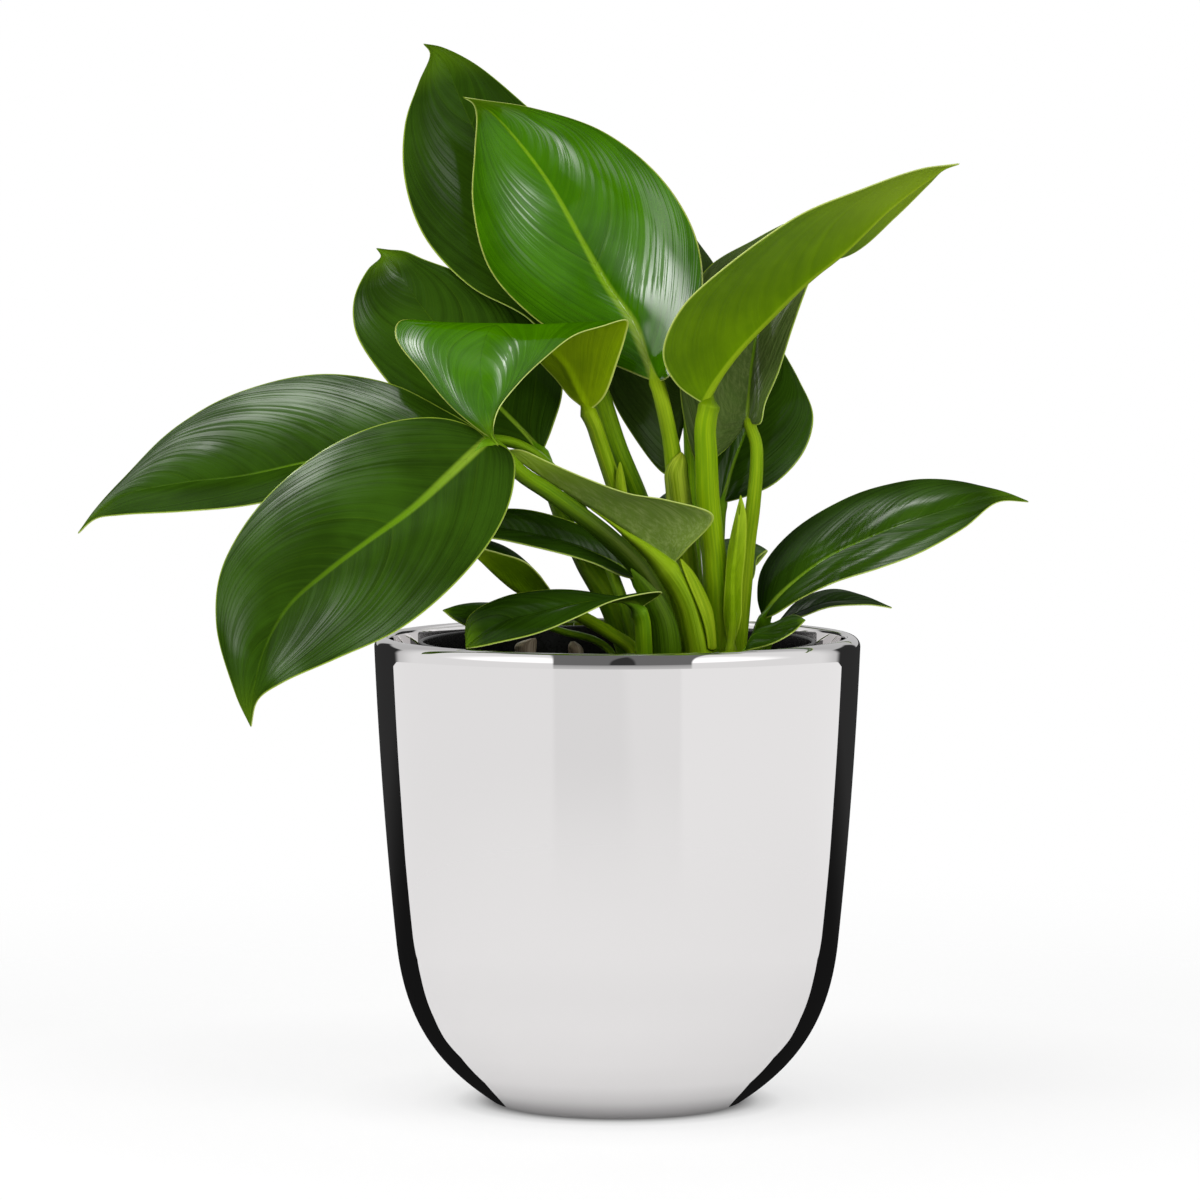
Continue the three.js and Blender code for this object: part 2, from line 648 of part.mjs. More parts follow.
// A row's share of the way up a blade: rows lie closer together towards its base and tip.
function rowShare(i, steps) {
  const crowded = (1 - Math.cos((Math.PI * i) / steps)) / 2;
  return ROW_EVENNESS * (i / steps) + (1 - ROW_EVENNESS) * crowded;
}

function bladeLines(leaf) {
  const base = leaf.stalk.at(-1);
  return [0, 1, 2].map((k) => curveThrough([base, ...leaf.rows.map((row) => row[k]), leaf.tip]));
}

// The middle surface of a blade: rows of points between its margins and midrib. It rises a
// little between midrib and margin, towards the side that "up" names.
function bladeSurface(leaf) {
  const [left, rib, right] = bladeLines(leaf);
  const puff = leaf.puff ?? PUFF;
  const lie = new THREE.Vector3().crossVectors(
    right.getPoint(0.5).sub(left.getPoint(0.5)), rib.getTangent(0.5),
  );
  const side = Math.sign(lie.dot(vector(leaf.up)));
  const rows = [];
  for (let i = 0; i <= leaf.steps; i++) {
    const t = rib.getUtoTmapping(rowShare(i, leaf.steps));
    const tangent = rib.getTangent(t);
    const centre = rib.getPoint(t);
    rows.push(
      COLUMNS.map((column) => {
        const across = (column < 0 ? left : right).getPoint(t).sub(centre);
        const normal = new THREE.Vector3().crossVectors(across, tangent).normalize();
        const share = Math.abs(column);
        const lift = puff * across.length() * 4 * share * (1 - share) * side * Math.sign(column);
        return centre.clone().addScaledVector(across, share).addScaledVector(normal, lift);
      }),
    );
  }
  return { rows, side };
}

// A closed blade: its surface given a thickness, and a keel under the midrib.
function bladeGeometry(leaf) {
  const { rows, side } = bladeSurface(leaf);
  const last = rows.length - 1;
  const width = COLUMNS.length;
  const rib = (width - 1) / 2;
  const normalAt = (i, j) => {
    const row = Math.min(Math.max(i, 1), last - 1);
    const along = rows[row + 1][j].clone().sub(rows[row - 1][j]);
    const across = rows[row][Math.min(j + 1, width - 1)].clone().sub(rows[row][Math.max(j - 1, 0)]);
    return across.cross(along).normalize().multiplyScalar(side);
  };
  const positions = [];
  const upper = rows.map(() => []);
  const under = rows.map(() => []);
  rows.forEach((row, i) => {
    const pointed = i === 0 || i === last;
    row.forEach((point, j) => {
      if (!pointed || j === 0) {
        const column = pointed ? rib : j;
        const normal = normalAt(i, column);
        const keel = column === rib ? KEEL_DEPTH * (1 - i / last) : 0;
        positions.push(...point.clone().addScaledVector(normal, BLADE_THICKNESS / 2));
        positions.push(...point.clone().addScaledVector(normal, -BLADE_THICKNESS / 2 - keel));
      }
      upper[i].push(positions.length / 3 - 2);
      under[i].push(positions.length / 3 - 1);
    });
  });
  const index = [];
  const triangle = (a, b, c) => {
    if (a !== b && b !== c && a !== c) index.push(...(side > 0 ? [a, b, c] : [a, c, b]));
  };
  const quad = (a, b, c, d) => {
    triangle(a, b, c);
    triangle(a, c, d);
  };
  for (let i = 0; i < last; i++) {
    for (let j = 0; j < width - 1; j++) {
      quad(upper[i][j], upper[i][j + 1], upper[i + 1][j + 1], upper[i + 1][j]);
      triangle(under[i][j], under[i + 1][j + 1], under[i][j + 1]);
      triangle(under[i][j], under[i + 1][j], under[i + 1][j + 1]);
    }
    quad(upper[i][0], upper[i + 1][0], under[i + 1][0], under[i][0]);
    quad(under[i][width - 1], under[i + 1][width - 1], upper[i + 1][width - 1], upper[i][width - 1]);
  }
  const geometry = new THREE.BufferGeometry();
  geometry.setAttribute("position", new THREE.Float32BufferAttribute(positions, 3));
  geometry.setIndex(index);
  return geometry;
}

// A stalk's radius at a share of its height, from its evenly spaced radii.
function stalkRadius(leaf, share) {
  const place = Math.min(share, 1) * (leaf.radius.length - 1);
  const i = Math.min(Math.floor(place), leaf.radius.length - 2);
  return leaf.radius[i] + (leaf.radius[i + 1] - leaf.radius[i]) * (place - i);
}

// The stalk stands upright in the soil, bends to the blade and runs out under its midrib.
function stalkGeometry(leaf) {
  const [x, y] = leaf.stalk[0];
  const rib = bladeLines(leaf)[1];
  const top = leaf.radius.at(-1);
  const up = vector(leaf.up).normalize();
  const run = STALK_RUN.map((share, i) =>
    rib.getPointAt(share).addScaledVector(up, -RUN_DEPTH[i] * top).toArray(),
  );
  const foot = [[x, y, FOOT_Z], [x, y, (FOOT_Z + SOIL_TOP) / 2], [x, y, SOIL_TOP + UPRIGHT]];
  const curve = curveThrough([...foot, ...leaf.stalk, ...run]);
  const length = curve.getLength();
  const bladeFrom = 1 - (rib.getLength() * STALK_RUN.at(-1)) / length;
  const radiusAt = (share) => {
    const pastBlade = Math.max(0, (share - bladeFrom) / (1 - bladeFrom));
    return stalkRadius(leaf, share / bladeFrom) * (1 - (1 - STALK_END) * pastBlade);
  };
  const steps = Math.max(FEWEST_STALK_STEPS, Math.round(length / STALK_STEP));
  return tube(curve, radiusAt, steps, STALK_SIDES);
}

const material = (color, roughness, metalness = 0) =>
  new THREE.MeshStandardMaterial({ color, roughness, metalness });

const plant = new THREE.Group();

function add(name, geometry, look) {
  const mesh = new THREE.Mesh(geometry, look);
  mesh.name = name;
  plant.add(mesh);
}

add("planter", planterGeometry(), material(0xdcdadc, 0.06, 1));
add("nursery_pot", potGeometry(), material(0x0c0c0c, 0.3));
add("soil", soilGeometry(), material(0x2c2018, 0.95));
add("crown", crownGeometry(), material(0x5d4a2c, 0.8));

for (const leaf of LEAVES) {
  const body = solid(bladeGeometry(leaf)).add(solid(stalkGeometry(leaf)));
  add(leaf.name, geometryOf(body), material(GREENS[leaf.green], 0.35));
}

export default plant;
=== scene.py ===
"""A potted green princess philodendron: fine leaves and pots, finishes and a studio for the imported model."""
import math

import bpy
import numpy as np
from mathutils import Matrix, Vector


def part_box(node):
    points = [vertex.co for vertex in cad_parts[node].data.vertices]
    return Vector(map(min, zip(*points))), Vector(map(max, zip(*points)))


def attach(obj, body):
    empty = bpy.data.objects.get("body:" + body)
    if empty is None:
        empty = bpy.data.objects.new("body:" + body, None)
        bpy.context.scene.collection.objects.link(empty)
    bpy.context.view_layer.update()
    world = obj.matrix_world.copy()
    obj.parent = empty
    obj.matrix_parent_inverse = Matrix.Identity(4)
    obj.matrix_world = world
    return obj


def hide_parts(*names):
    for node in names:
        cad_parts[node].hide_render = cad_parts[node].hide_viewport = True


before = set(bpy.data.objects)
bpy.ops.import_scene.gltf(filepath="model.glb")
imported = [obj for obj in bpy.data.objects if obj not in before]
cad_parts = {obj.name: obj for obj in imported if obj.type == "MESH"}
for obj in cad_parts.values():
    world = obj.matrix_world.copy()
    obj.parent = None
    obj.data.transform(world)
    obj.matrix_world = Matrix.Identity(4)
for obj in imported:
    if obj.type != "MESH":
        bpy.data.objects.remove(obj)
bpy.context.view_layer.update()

# The points below are in millimetres, and Blender's are in metres.
MM = 0.001

# Planter and nursery pot, in millimetres: the outer sizes come from the frame.
PLANTER_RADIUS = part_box("planter")[1].x / MM
PLANTER_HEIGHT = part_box("planter")[1].z / MM
PLANTER_WALL = 4.6
PLANTER_FLOOR = 11
FOOT_RADIUS = 37
BELLY_HEIGHT = 48
BELLY_RADIUS = 66.6
LIP_OUTER_ROUND = 3.2
LIP_INNER_ROUND = 1.4
INNER_FLOOR_RADIUS = 42
# The two handles of each of the planter's curves: (radius, height).
BELOW_BELLY = [(54, 11), (64, 24)]
ABOVE_BELLY = [(69.7, 77.9), (71.85, 107.9)]
INSIDE = [(59, 27), (53, PLANTER_FLOOR)]
POT_RIM_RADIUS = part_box("nursery_pot")[1].x / MM
POT_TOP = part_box("nursery_pot")[1].z / MM
POT_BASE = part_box("nursery_pot")[0].z / MM
POT_BASE_RADIUS = 40
POT_BAND_FOOT = POT_TOP - 15
POT_STEP = 3
POT_WALL = 1.4
SOIL_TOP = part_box("soil")[1].z / MM
SOIL_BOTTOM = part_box("soil")[0].z / MM
# The potting mix lies this much lower at the pot's wall than in the middle, and ends this far from it.
SOIL_FALL = 1.5
SOIL_GAP = 0.6
# How far the middle of a chip lies below the level of the mix.
CHIP_SINK = 1.8

# Blades, in millimetres. The steps are about how far apart a blade's points are. The puff is how far
# each half bulges, as a share of its width.
BLADE_THICKNESS = 0.5
EDGE_THICKNESS = 0.32
KEEL_DEPTH = 1
RIB_GROOVE_DEPTH = 0.14
RIPPLE_DEPTH = 0.45
RIPPLE_LENGTH = 26
ROW_STEP = 0.8
COLUMN_STEP = 1.4
PUFF = 0.06
SCALE_THICKNESS = 0.4
SCALE_ROWS = 32
SCALE_COLUMNS = 14

# Stalks, in millimetres. The collar and the groove are shares of the radius.
STALK_FOOT = 116
STALK_SIDES = 28
STALK_STEP = 1.2
STALK_BEND = 5
STALK_GROOVE = 0.1
COLLAR = 0.08
COLLAR_REACH = 1.5
# A stalk runs on under its midrib: (share of the midrib's length, depth in the stalk's own radii).
STALK_RUN = ((0.03, 0.5), (0.08, 0.42), (0.13, 0.3), (0.2, 0.12))
STALK_RUN_END = STALK_RUN[-1][0]

LEAVES = []


def add_leaf(name, look, **parts):
    """Notes down a leaf, in millimetres.

    up: where its upper side looks. stalk: points from the soil to the blade's base.
    radius: the stalk's, at even steps up to the blade. rows: a margin, the midrib and the other margin,
    up to the tip.
    gleam: spots of shine (place along, place across, length, width, strength), in shares of the blade.
    shade and stalk_shade: painted shade above 0, a pale bloom under 0. rib: how wide the midrib is drawn.
    run: how far the stalk runs under the midrib. bend: how far the stalk's bend at the blade reaches.
    """
    LEAVES.append({"name": name, "look": look, **parts})


add_leaf(
    "leaf_tall_back", "dark", up=(0, -1, 0.3), radius=[3.4, 3],
    gleam=[(0.66, -0.55, 0.18, 0.3, 0.25)],
    stalk=[(18.5, 24, 133), (16, 21, 147), (12, 17, 162.5), (6.5, 12, 181), (0, 10, 197), (-6, 12, 215.5)],
    rows=[
        [(-13.5, 9, 219.5), (-9, 15, 222.5), (-1.5, 15, 219)],
        [(-26.5, 13, 235.5), (-15.5, 22, 236), (1, 22, 234.5)],
        [(-44.5, 18, 245.5), (-24, 27, 252.5), (-0.5, 28, 255)],
        [(-58.5, 24, 260.5), (-32.5, 31, 270.5), (-8, 32, 274)],
        [(-64.5, 28, 277.5), (-40.5, 34, 286.5), (-18.5, 35, 291)],
        [(-64.5, 32, 294.5), (-47.5, 36, 301.5), (-30.5, 37, 302.5)],
        [(-60.5, 35, 307), (-52.5, 37, 313), (-43.5, 38, 313)],
        [(-57, 36, 316), (-56, 36, 317), (-53.5, 37, 318)],
    ],
    tip=(-59, 34, 319),
)
add_leaf(
    "leaf_bright_main", "fresh", rib=1.7, up=(0, -1, 0.3), radius=[3.6, 3.6, 3.5, 3.3, 3.2, 2.4, 2.3],
    gleam=[
        (0.8, 0.45, 0.1, 0.2, 1), (0.68, 0.62, 0.07, 0.14, 0.9), (0.55, 0.8, 0.12, 0.14, 1),
        (0.35, 0.8, 0.14, 0.16, 1), (0.2, 0.42, 0.14, 0.4, 1.6), (0.08, 0.5, 0.1, 0.5, 1.6),
        (0.61, -0.42, 0.08, 0.18, 0.7), (0.5, -0.7, 0.07, 0.12, 0.35), (0.33, -0.14, 0.05, 0.05, 0.6),
    ],
    stalk=[(23, 9, 134.5), (22, 7, 154), (19.5, 4, 175.5), (17.5, 2, 189), (16, 1, 199.5), (12, -1, 217)],
    rows=[
        [(5.5, 1, 219.5), (8.5, 4, 226), (16, -4, 219.5)],
        [(-8, 5, 225.5), (4.5, 8, 235.5), (24, -3, 234.5)], [(-26, 8, 237), (-3, 12, 246), (25.5, 1, 250)],
        [(-38.5, 10, 251), (-11, 15, 260), (22, 6, 264.5)],
        [(-43.5, 11, 270), (-20.5, 17, 276.5), (11.5, 10, 280)],
        [(-43, 14, 286.5), (-31, 18, 290.5), (-5, 13, 292.5)],
        [(-42.5, 15, 297), (-38.5, 17, 298.5), (-26.5, 15, 299.5)],
        [(-43.5, 13, 300.5), (-43, 14, 301), (-39.5, 14, 301.5)],
    ],
    tip=(-46.5, 11, 302.5),
)
add_leaf(
    "leaf_middle_left", "dark", up=(0, -1, 0.5), radius=[3.5, 3.7, 4.6, 4.4, 2.8, 2.5, 2.4],
    gleam=[(0.86, -0.1, 0.08, 0.3, 0.5), (0.81, -0.8, 0.1, 0.15, 0.5), (0.7, 0.9, 0.12, 0.1, 0.35)],
    stalk=[
        (4, -8, 135.5), (-1.5, -7, 152), (-9.5, -6, 164), (-16, -5, 176), (-20.5, -4, 188.5),
        (-22.5, -3, 196),
    ],
    rows=[
        [(-33.5, -6, 198), (-29, 0, 203), (-19.5, -1, 203.5)],
        [(-48.5, -3, 201), (-36, 4, 210), (-16.5, 6, 215)],
        [(-61.5, 3, 209.5), (-45, 9, 220), (-19.5, 15.5, 228.5)],
        [(-72, 9, 220.5), (-53.5, 14, 232), (-32, 21, 241)],
        [(-79, 13, 232), (-60.5, 18, 241), (-46.5, 22, 249)],
        [(-79.5, 17, 242), (-65.5, 20, 248.5), (-58.5, 22, 253.5)],
        [(-75.5, 18, 250.5), (-68.5, 20, 253), (-64.5, 22, 256)],
        [(-71.5, 20, 254.5), (-71, 20, 255.5), (-69.5, 21, 256.5)],
    ],
    tip=(-73, 20, 257),
)
add_leaf(
    "leaf_bright_folded", "fresh", puff=-0.02, rib=0, run=0.45, up=(0, 0, 1), radius=[3, 2.8, 2.5, 2.5],
    gleam=[
        (0.62, -0.82, 0.1, 0.14, 0.9), (0.78, -0.62, 0.1, 0.1, 0.7), (0.62, 0.3, 0.06, 0.15, 0.5),
        (0.7, 0.33, 0.12, 0.08, 0.9),
    ],
    stalk=[
        (12, 2, 135), (8.5, 1, 154.5), (3.5, 0, 172.5), (-1.5, -1, 188), (-5.5, -2, 200),
        (-8.5, -4, 208.5),
    ],
    rows=[
        [(-14, -2, 212.5), (-11.5, -3, 214), (-4, -6, 213)],
        [(-19.5, 2, 219), (-16, -2, 223), (0, -8, 223.5)],
        [(-31, 5, 229), (-24.5, -2, 230.5), (2.5, -9, 231.5)],
        [(-54, 4, 235), (-32, -4, 234.5), (3, -12, 236)],
        [(-65, -2, 235.5), (-37.5, -10, 233.5), (-4.5, -16, 234.5)],
        [(-66, -9, 230.5), (-40, -18, 228), (-12.5, -20, 232)],
        [(-58, -18, 220.5), (-40.5, -26, 220), (-20.5, -25, 226)],
        [(-49, -26, 210.5), (-39, -31, 211), (-29.5, -30, 217.5)],
        [(-40, -32, 203.5), (-37.5, -34, 205), (-35.5, -34, 209.5)],
        [(-37.5, -35, 202), (-37, -36, 202.5), (-36.5, -35.5, 203.5)],
    ],
    tip=(-35, -36, 199.5),
)
add_leaf(
    "leaf_rising_right", "under", run=0.35, bend=9, up=(-0.7, 0, 0.7), radius=[4.7, 3.3],
    stalk=[(31, 0, 135), (30, 0, 148.5), (29, -1, 163.5), (27, -2, 182), (26.5, -3, 197), (26, -4, 210.5)],
    rows=[
        [(17.5, -9, 217), (29.5, -3, 217), (29.5, 3, 218.5)],
        [(13.5, -15, 226.5), (36, -3, 226), (31.5, 7, 229)],
        [(19.5, -19, 240.5), (45, -2, 235.5), (38.5, 10, 242)],
        [(34, -19, 253.5), (54.5, 0, 245), (51.5, 13, 251.5)],
        [(52.5, -15, 266.5), (66.5, 3, 254.5), (70, 13, 255)],
        [(74.5, -7, 275.5), (82, 7, 269), (84, 12, 266.5)], [(91, 2, 281), (94, 8, 278), (94, 10, 276.5)],
        [(98, 7, 282), (98.5, 8.5, 281), (98, 9, 280.5)],
    ],
    tip=(103, 10, 282.5),
)
add_leaf(
    "leaf_behind_right", "dark", stalk_look="fresh", shade=-0.25, run=0.4, up=(0, -1, 0.3),
    radius=[2.5, 2.4, 2.3, 1.8],
    gleam=[(0.3, 0.5, 0.35, 0.6, 0.8)],
    stalk=[
        (36.5, 5.5, 135), (37.5, 5, 146), (38.5, 5, 157.5), (39.5, 5, 169), (41, 5, 180.5), (42, 5, 193),
        (41.5, 6, 201), (39, 8, 204.5),
    ],
    rows=[
        [(32, 7, 196), (39.5, 9, 208.5), (43, 4, 204.5)], [(25, 8, 192), (40, 12, 214), (44.5, 4, 210.5)],
        [(20, 14, 207), (41, 16, 223), (48.5, 9, 219.5)], [(19.5, 21, 228), (43, 20, 234), (53, 15, 233)],
        [(26, 28, 249), (48, 25, 246), (57.5, 21, 245)],
        [(42, 32, 259.5), (55.5, 30, 257.5), (62, 26, 255.5)],
        [(55.5, 34, 266), (61, 32, 264.5), (65, 30, 263)],
    ],
    tip=(66, 34, 268),
)
add_leaf(
    "leaf_shaded_center", "dark", shade=-0.1, up=(0, -1, 0.3), radius=[2.2, 1.8],
    stalk=[(26, 17, 133.5), (24, 17, 156.5), (22.5, 17, 181), (22, 18, 199), (21.5, 20, 210.5)],
    rows=[
        [(19, 17, 199), (21, 22, 217), (24.5, 18, 199)],
        [(15.5, 16, 188.5), (20.5, 24, 223), (27, 18, 192.5)],
        [(4, 20, 201.5), (19, 28, 233.5), (30, 24, 211)],
        [(-3.5, 25, 217), (17.5, 32, 245.5), (33, 30, 232)],
        [(-3.5, 31, 236.5), (15.5, 36, 257), (31.5, 36, 248)],
        [(1.5, 36, 255), (13.5, 39, 267), (24.5, 39, 259)],
    ],
    tip=(11.5, 42, 275),
)
add_leaf(
    "leaf_back_right", "dark", shade=0.15, up=(0, -1, 0.3), radius=[2, 1.6],
    stalk=[(30, 12, 134), (30.5, 12, 160), (31, 12, 172), (31.5, 12, 180)],
    rows=[
        [(28, 12, 181), (33, 14, 185), (38.5, 11, 182)],
        [(28, 14, 188.5), (35, 16, 191.5), (47.5, 12, 186)],
        [(29.5, 18, 200.5), (38.5, 19, 200.5), (56.5, 16, 195.5)],
        [(32.5, 23, 213.5), (42, 23, 209.5), (59.5, 21, 206)],
        [(38, 28, 223.5), (46, 28, 219), (55.5, 27, 216.5)],
    ],
    tip=(48, 33, 230),
)
add_leaf(
    "leaf_far_left", "dark", up=(0, -0.5, 1), radius=[2, 1.6],
    gleam=[
        (0.5, 0.72, 0.3, 0.28, 0.9), (0.24, 0.85, 0.1, 0.15, 0.6), (0.67, 0.42, 0.03, 0.08, 0.9),
        (0.82, 0.42, 0.1, 0.2, 0.4),
    ],
    stalk=[
        (5.5, -17, 136.5), (1.5, -15, 152.5), (-6, -10, 170.5), (-14.5, -10, 185.5), (-23, -12, 195),
        (-30.5, -15, 199.5), (-38, -18, 201),
    ],
    rows=[
        [(-42.5, -22, 197), (-46, -18, 200.5), (-41.5, -16, 203.5)],
        [(-55.5, -26, 192.5), (-60, -16, 199.5), (-51.5, -9, 209)],
        [(-71.5, -28, 188.5), (-76.5, -14, 196.5), (-67.5, -2, 216.5)],
        [(-90.5, -29, 185.5), (-94.5, -12, 193), (-88, 3, 219.5)],
        [(-110, -28, 181.5), (-113.5, -10, 189), (-110.5, 5, 215)],
        [(-129.5, -24, 179.5), (-131.5, -9, 187), (-131.5, 3, 204.5)],
        [(-148, -15, 178), (-147.5, -8, 183.5), (-148.5, -2, 188)],
        [(-156, -10, 176.5), (-155.5, -8, 178), (-156.5, -6, 179)],
    ],
    tip=(-161.5, -7, 172),
)
# Its stalk_shade paints the shade that falls on the lower part of its stalk.
add_leaf(
    "leaf_front_left", "dark", stalk_shade=0.9, rib=1.5, up=(-0.3, -1, 0.5),
    radius=[4, 4, 3.2, 2.8, 2.5, 2.3],
    gleam=[
        (0.43, -0.92, 0.16, 0.22, 1), (0.38, -0.6, 0.14, 0.2, 0.4), (0.64, 0.66, 0.14, 0.3, 1),
        (0.8, -0.6, 0.08, 0.25, 0.3),
    ],
    stalk=[
        (15, -19, 136.5), (12.5, -20.5, 151.5), (6.5, -23, 162.5), (-1.5, -26, 171), (-10.5, -28.5, 178.5),
        (-20, -29, 185.5), (-29, -28.5, 191.5), (-38.5, -29, 201),
    ],
    rows=[
        [(-42.5, -28, 204.5), (-43, -34, 197), (-31.5, -32, 197.5)],
        [(-52.5, -29, 207.5), (-50, -40, 190.5), (-30.5, -40, 189)],
        [(-69, -33, 206), (-60, -46, 181.5), (-34.5, -49, 177)],
        [(-88, -39, 197.5), (-72.5, -52, 172.5), (-46, -58, 162)],
        [(-104.5, -45, 183), (-85, -57, 163.5), (-63, -65, 148)],
        [(-115.5, -51, 165), (-96, -60, 153.5), (-81.5, -69, 139.5)],
        [(-117, -56, 148.5), (-102.5, -61, 141.5), (-97, -68, 132.5)],
        [(-111.5, -58, 128.5), (-106, -60, 128.5), (-104.5, -63, 127)],
    ],
    tip=(-107, -57, 118.5),
)
add_leaf(
    "leaf_center_curled", "under", stalk_look="stalk", shade=-0.4, run=2.6, bend=14, up=(0.3, 0.6, 1),
    radius=[5, 5, 4.4, 3.8],
    stalk=[(24, -9, 135.5), (22, -10, 146.5), (19.5, -10.5, 155.5), (16.5, -11, 163)],
    rows=[
        [(20.5, -14, 167.5), (11.5, -11, 167), (17.5, -6, 166.5)],
        [(28.5, -19, 178), (5.5, -13, 171.5), (18.5, -4, 174)],
        [(15.5, -22, 182.5), (-2, -16, 177), (8.5, -6, 180)],
        [(3, -25, 185), (-10, -19, 182), (-3, -9, 184)],
        [(-9.5, -27, 189.5), (-18.5, -22, 187.5), (-13.5, -15, 188.5)],
        [(-20.5, -28, 194.5), (-25, -25, 192), (-22, -20, 193)],
        [(-28.5, -27, 198), (-30.5, -26, 196), (-30, -24, 196.5)],
    ],
    tip=(-33, -25, 198),
)
add_leaf(
    "leaf_low_left", "dark", shade=0.3, up=(0, -0.5, 1), radius=[2.2, 1.8],
    stalk=[(9.5, -14, 136), (8, -14, 152.5), (7, -14, 158.5)],
    rows=[
        [(1.5, -19, 160), (1, -17, 163), (3, -15, 165.5)],
        [(-8, -24, 164.5), (-9, -20, 168), (-5, -16, 172)],
        [(-20, -27, 168), (-20, -22, 171.5), (-17, -17, 177.5)],
        [(-32.5, -28, 171), (-32.5, -23, 174), (-29.5, -18, 180)],
        [(-43.5, -27, 172.5), (-43.5, -24, 175), (-41.5, -20, 179)],
    ],
    tip=(-53, -26, 174),
)
add_leaf(
    "leaf_rim_front", "dark", shade=0.4, stalk_shade=0.3, up=(0, -0.5, 1), radius=[2.8, 2.6],
    gleam=[(0.5, 0.3, 0.2, 0.15, 0.35), (0.41, -0.2, 0.06, 0.06, 0.5)],
    stalk=[(8, -29, 137.5), (7.5, -30, 147), (7, -30, 151.5)],
    rows=[
        [(13, -37, 156.5), (4.5, -32, 154), (5, -29, 153.5)],
        [(-1, -43, 154.5), (-3.5, -35, 154), (-3, -28, 155)],
        [(-12, -49, 150), (-12.5, -38, 153), (-12.5, -29, 156.5)],
        [(-23.5, -52, 145.5), (-23.5, -42, 150.5), (-23, -32, 156.5)],
        [(-34.5, -53, 143), (-34, -46, 148), (-34, -37, 155)],
        [(-41, -52, 141.5), (-41, -49, 144), (-44, -44, 149.5)],
    ],
    tip=(-44.5, -50, 141),
)
add_leaf(
    "leaf_rim_left", "dark", up=(0, -0.3, 1), radius=[1.3, 1.1],
    stalk=[(-1.5, -18, 136.5), (-6, -17, 140.5), (-17, -16, 143.5), (-26, -16, 146.5)],
    rows=[
        [(-32.5, -26, 145), (-32.5, -21, 149), (-31.5, -14, 151.5)],
        [(-42, -36, 145.5), (-41.5, -30, 150), (-39, -22, 152.5)],
        [(-48, -39, 148.5), (-47.5, -36, 151), (-46.5, -32, 152.5)],
    ],
    tip=(-51.5, -41, 151.5),
)
add_leaf(
    "leaf_folded_low", "under", up=(0.3, 0, 1), radius=[2.3, 2],
    stalk=[(5, -24, 138), (-1.5, -23, 143), (-9.5, -21, 147.5), (-17.5, -18, 151.5)],
    rows=[
        [(-21.5, -23, 158.5), (-23, -18, 153), (-21, -11, 156.5)],
        [(-27.5, -28, 165), (-29.5, -20, 156), (-23.5, -9, 160)],
        [(-35, -29, 167.5), (-36, -22, 161), (-30.5, -11, 166.5)],
        [(-40.5, -28, 169), (-41.5, -25, 166), (-38.5, -17, 170.5)],
    ],
    tip=(-47.5, -26, 171.5),
)
add_leaf(
    "leaf_far_right", "dark", up=(0, -0.5, 1), radius=[2.2, 2],
    gleam=[
        (0.5, 0.2, 0.14, 0.25, 1), (0.64, 0.22, 0.1, 0.12, 1), (0.33, -0.07, 0.1, 0.1, 0.9),
        (0.46, -0.7, 0.2, 0.3, 0.9),
    ],
    stalk=[(41.5, 9.5, 134.5), (42.5, 8, 140.5), (44, 5, 145.5)],
    rows=[
        [(47.5, -3, 147.5), (47.5, 2, 151), (42.5, 10, 151.5)],
        [(54.5, -10, 152.5), (53.5, 0, 157), (44, 16, 160)],
        [(65, -16, 158), (62.5, -3, 164), (52.5, 19, 170.5)],
        [(78, -20, 162.5), (74, -6, 170), (66, 17, 179.5)],
        [(91.5, -22, 168), (90, -10, 176.5), (81, 12, 185.5)],
        [(103, -21, 174.5), (104.5, -13, 181), (97, 3, 188)],
        [(113, -18, 182), (116.5, -15, 183.5), (111.5, -8, 185.5)],
    ],
    tip=(122.5, -16, 182),
)
add_leaf(
    "leaf_low_right", "dark", up=(0, -0.5, 1), radius=[1.6, 1.4],
    stalk=[(44.5, 15, 134), (46, 14, 138.5), (48, 13, 143)],
    rows=[
        [(55, 4, 146), (55.5, 14, 147), (55.5, 22, 150)], [(64.5, 5, 149), (64.5, 15, 150), (65, 25, 153)],
        [(75, 10, 149.5), (74.5, 16, 150.5), (74.5, 22, 151.5)],
    ],
    tip=(83.5, 16, 148),
)
add_leaf(
    "leaf_rim_right", "dark", up=(0, -0.5, 1), radius=[1.5, 1.3],
    stalk=[(38, -11, 133.5), (38, -11, 137)],
    rows=[
        [(40, -17, 138), (40.5, -13, 142), (42, -8, 143)],
        [(47, -24, 140.5), (46, -17, 143.5), (47, -9, 145.5)],
        [(52, -24, 143.5), (51.5, -20, 145.5), (52.5, -13, 148)],
    ],
    tip=(56, -20, 147),
)
add_leaf(
    "leaf_back_low", "dark", up=(0, -0.5, 1), radius=[2.2, 1.8],
    stalk=[(33.5, 20, 133.5), (35, 22, 144), (37, 24, 152.5)],
    rows=[
        [(31, 34, 157), (36.5, 36, 158), (41.5, 34, 155.5)],
        [(29.5, 50, 164), (36.5, 52, 165), (43, 50, 160)],
        [(32, 68, 165), (38.5, 70, 165.5), (44.5, 68, 160.5)],
        [(36.5, 84, 163), (42, 86, 163), (47.5, 84, 161)],
    ],
    tip=(44.5, 100, 155.5),
)
add_leaf(
    "leaf_back_narrow", "dark", up=(0, -0.5, 1), radius=[2.2, 1.8],
    stalk=[(14, 30, 132.5), (14.5, 31, 146.5), (17, 30, 161.5)],
    rows=[
        [(12, 38, 169), (17, 40, 170.5), (22.5, 38, 169)], [(12.5, 52, 176), (17, 54, 178), (23, 52, 176)],
        [(13, 66, 178), (17, 68, 180.5), (23, 66, 178.5)],
        [(15, 82, 175.5), (18, 84, 177), (22, 82, 175.5)],
    ],
    tip=(21, 98, 168.5),
)
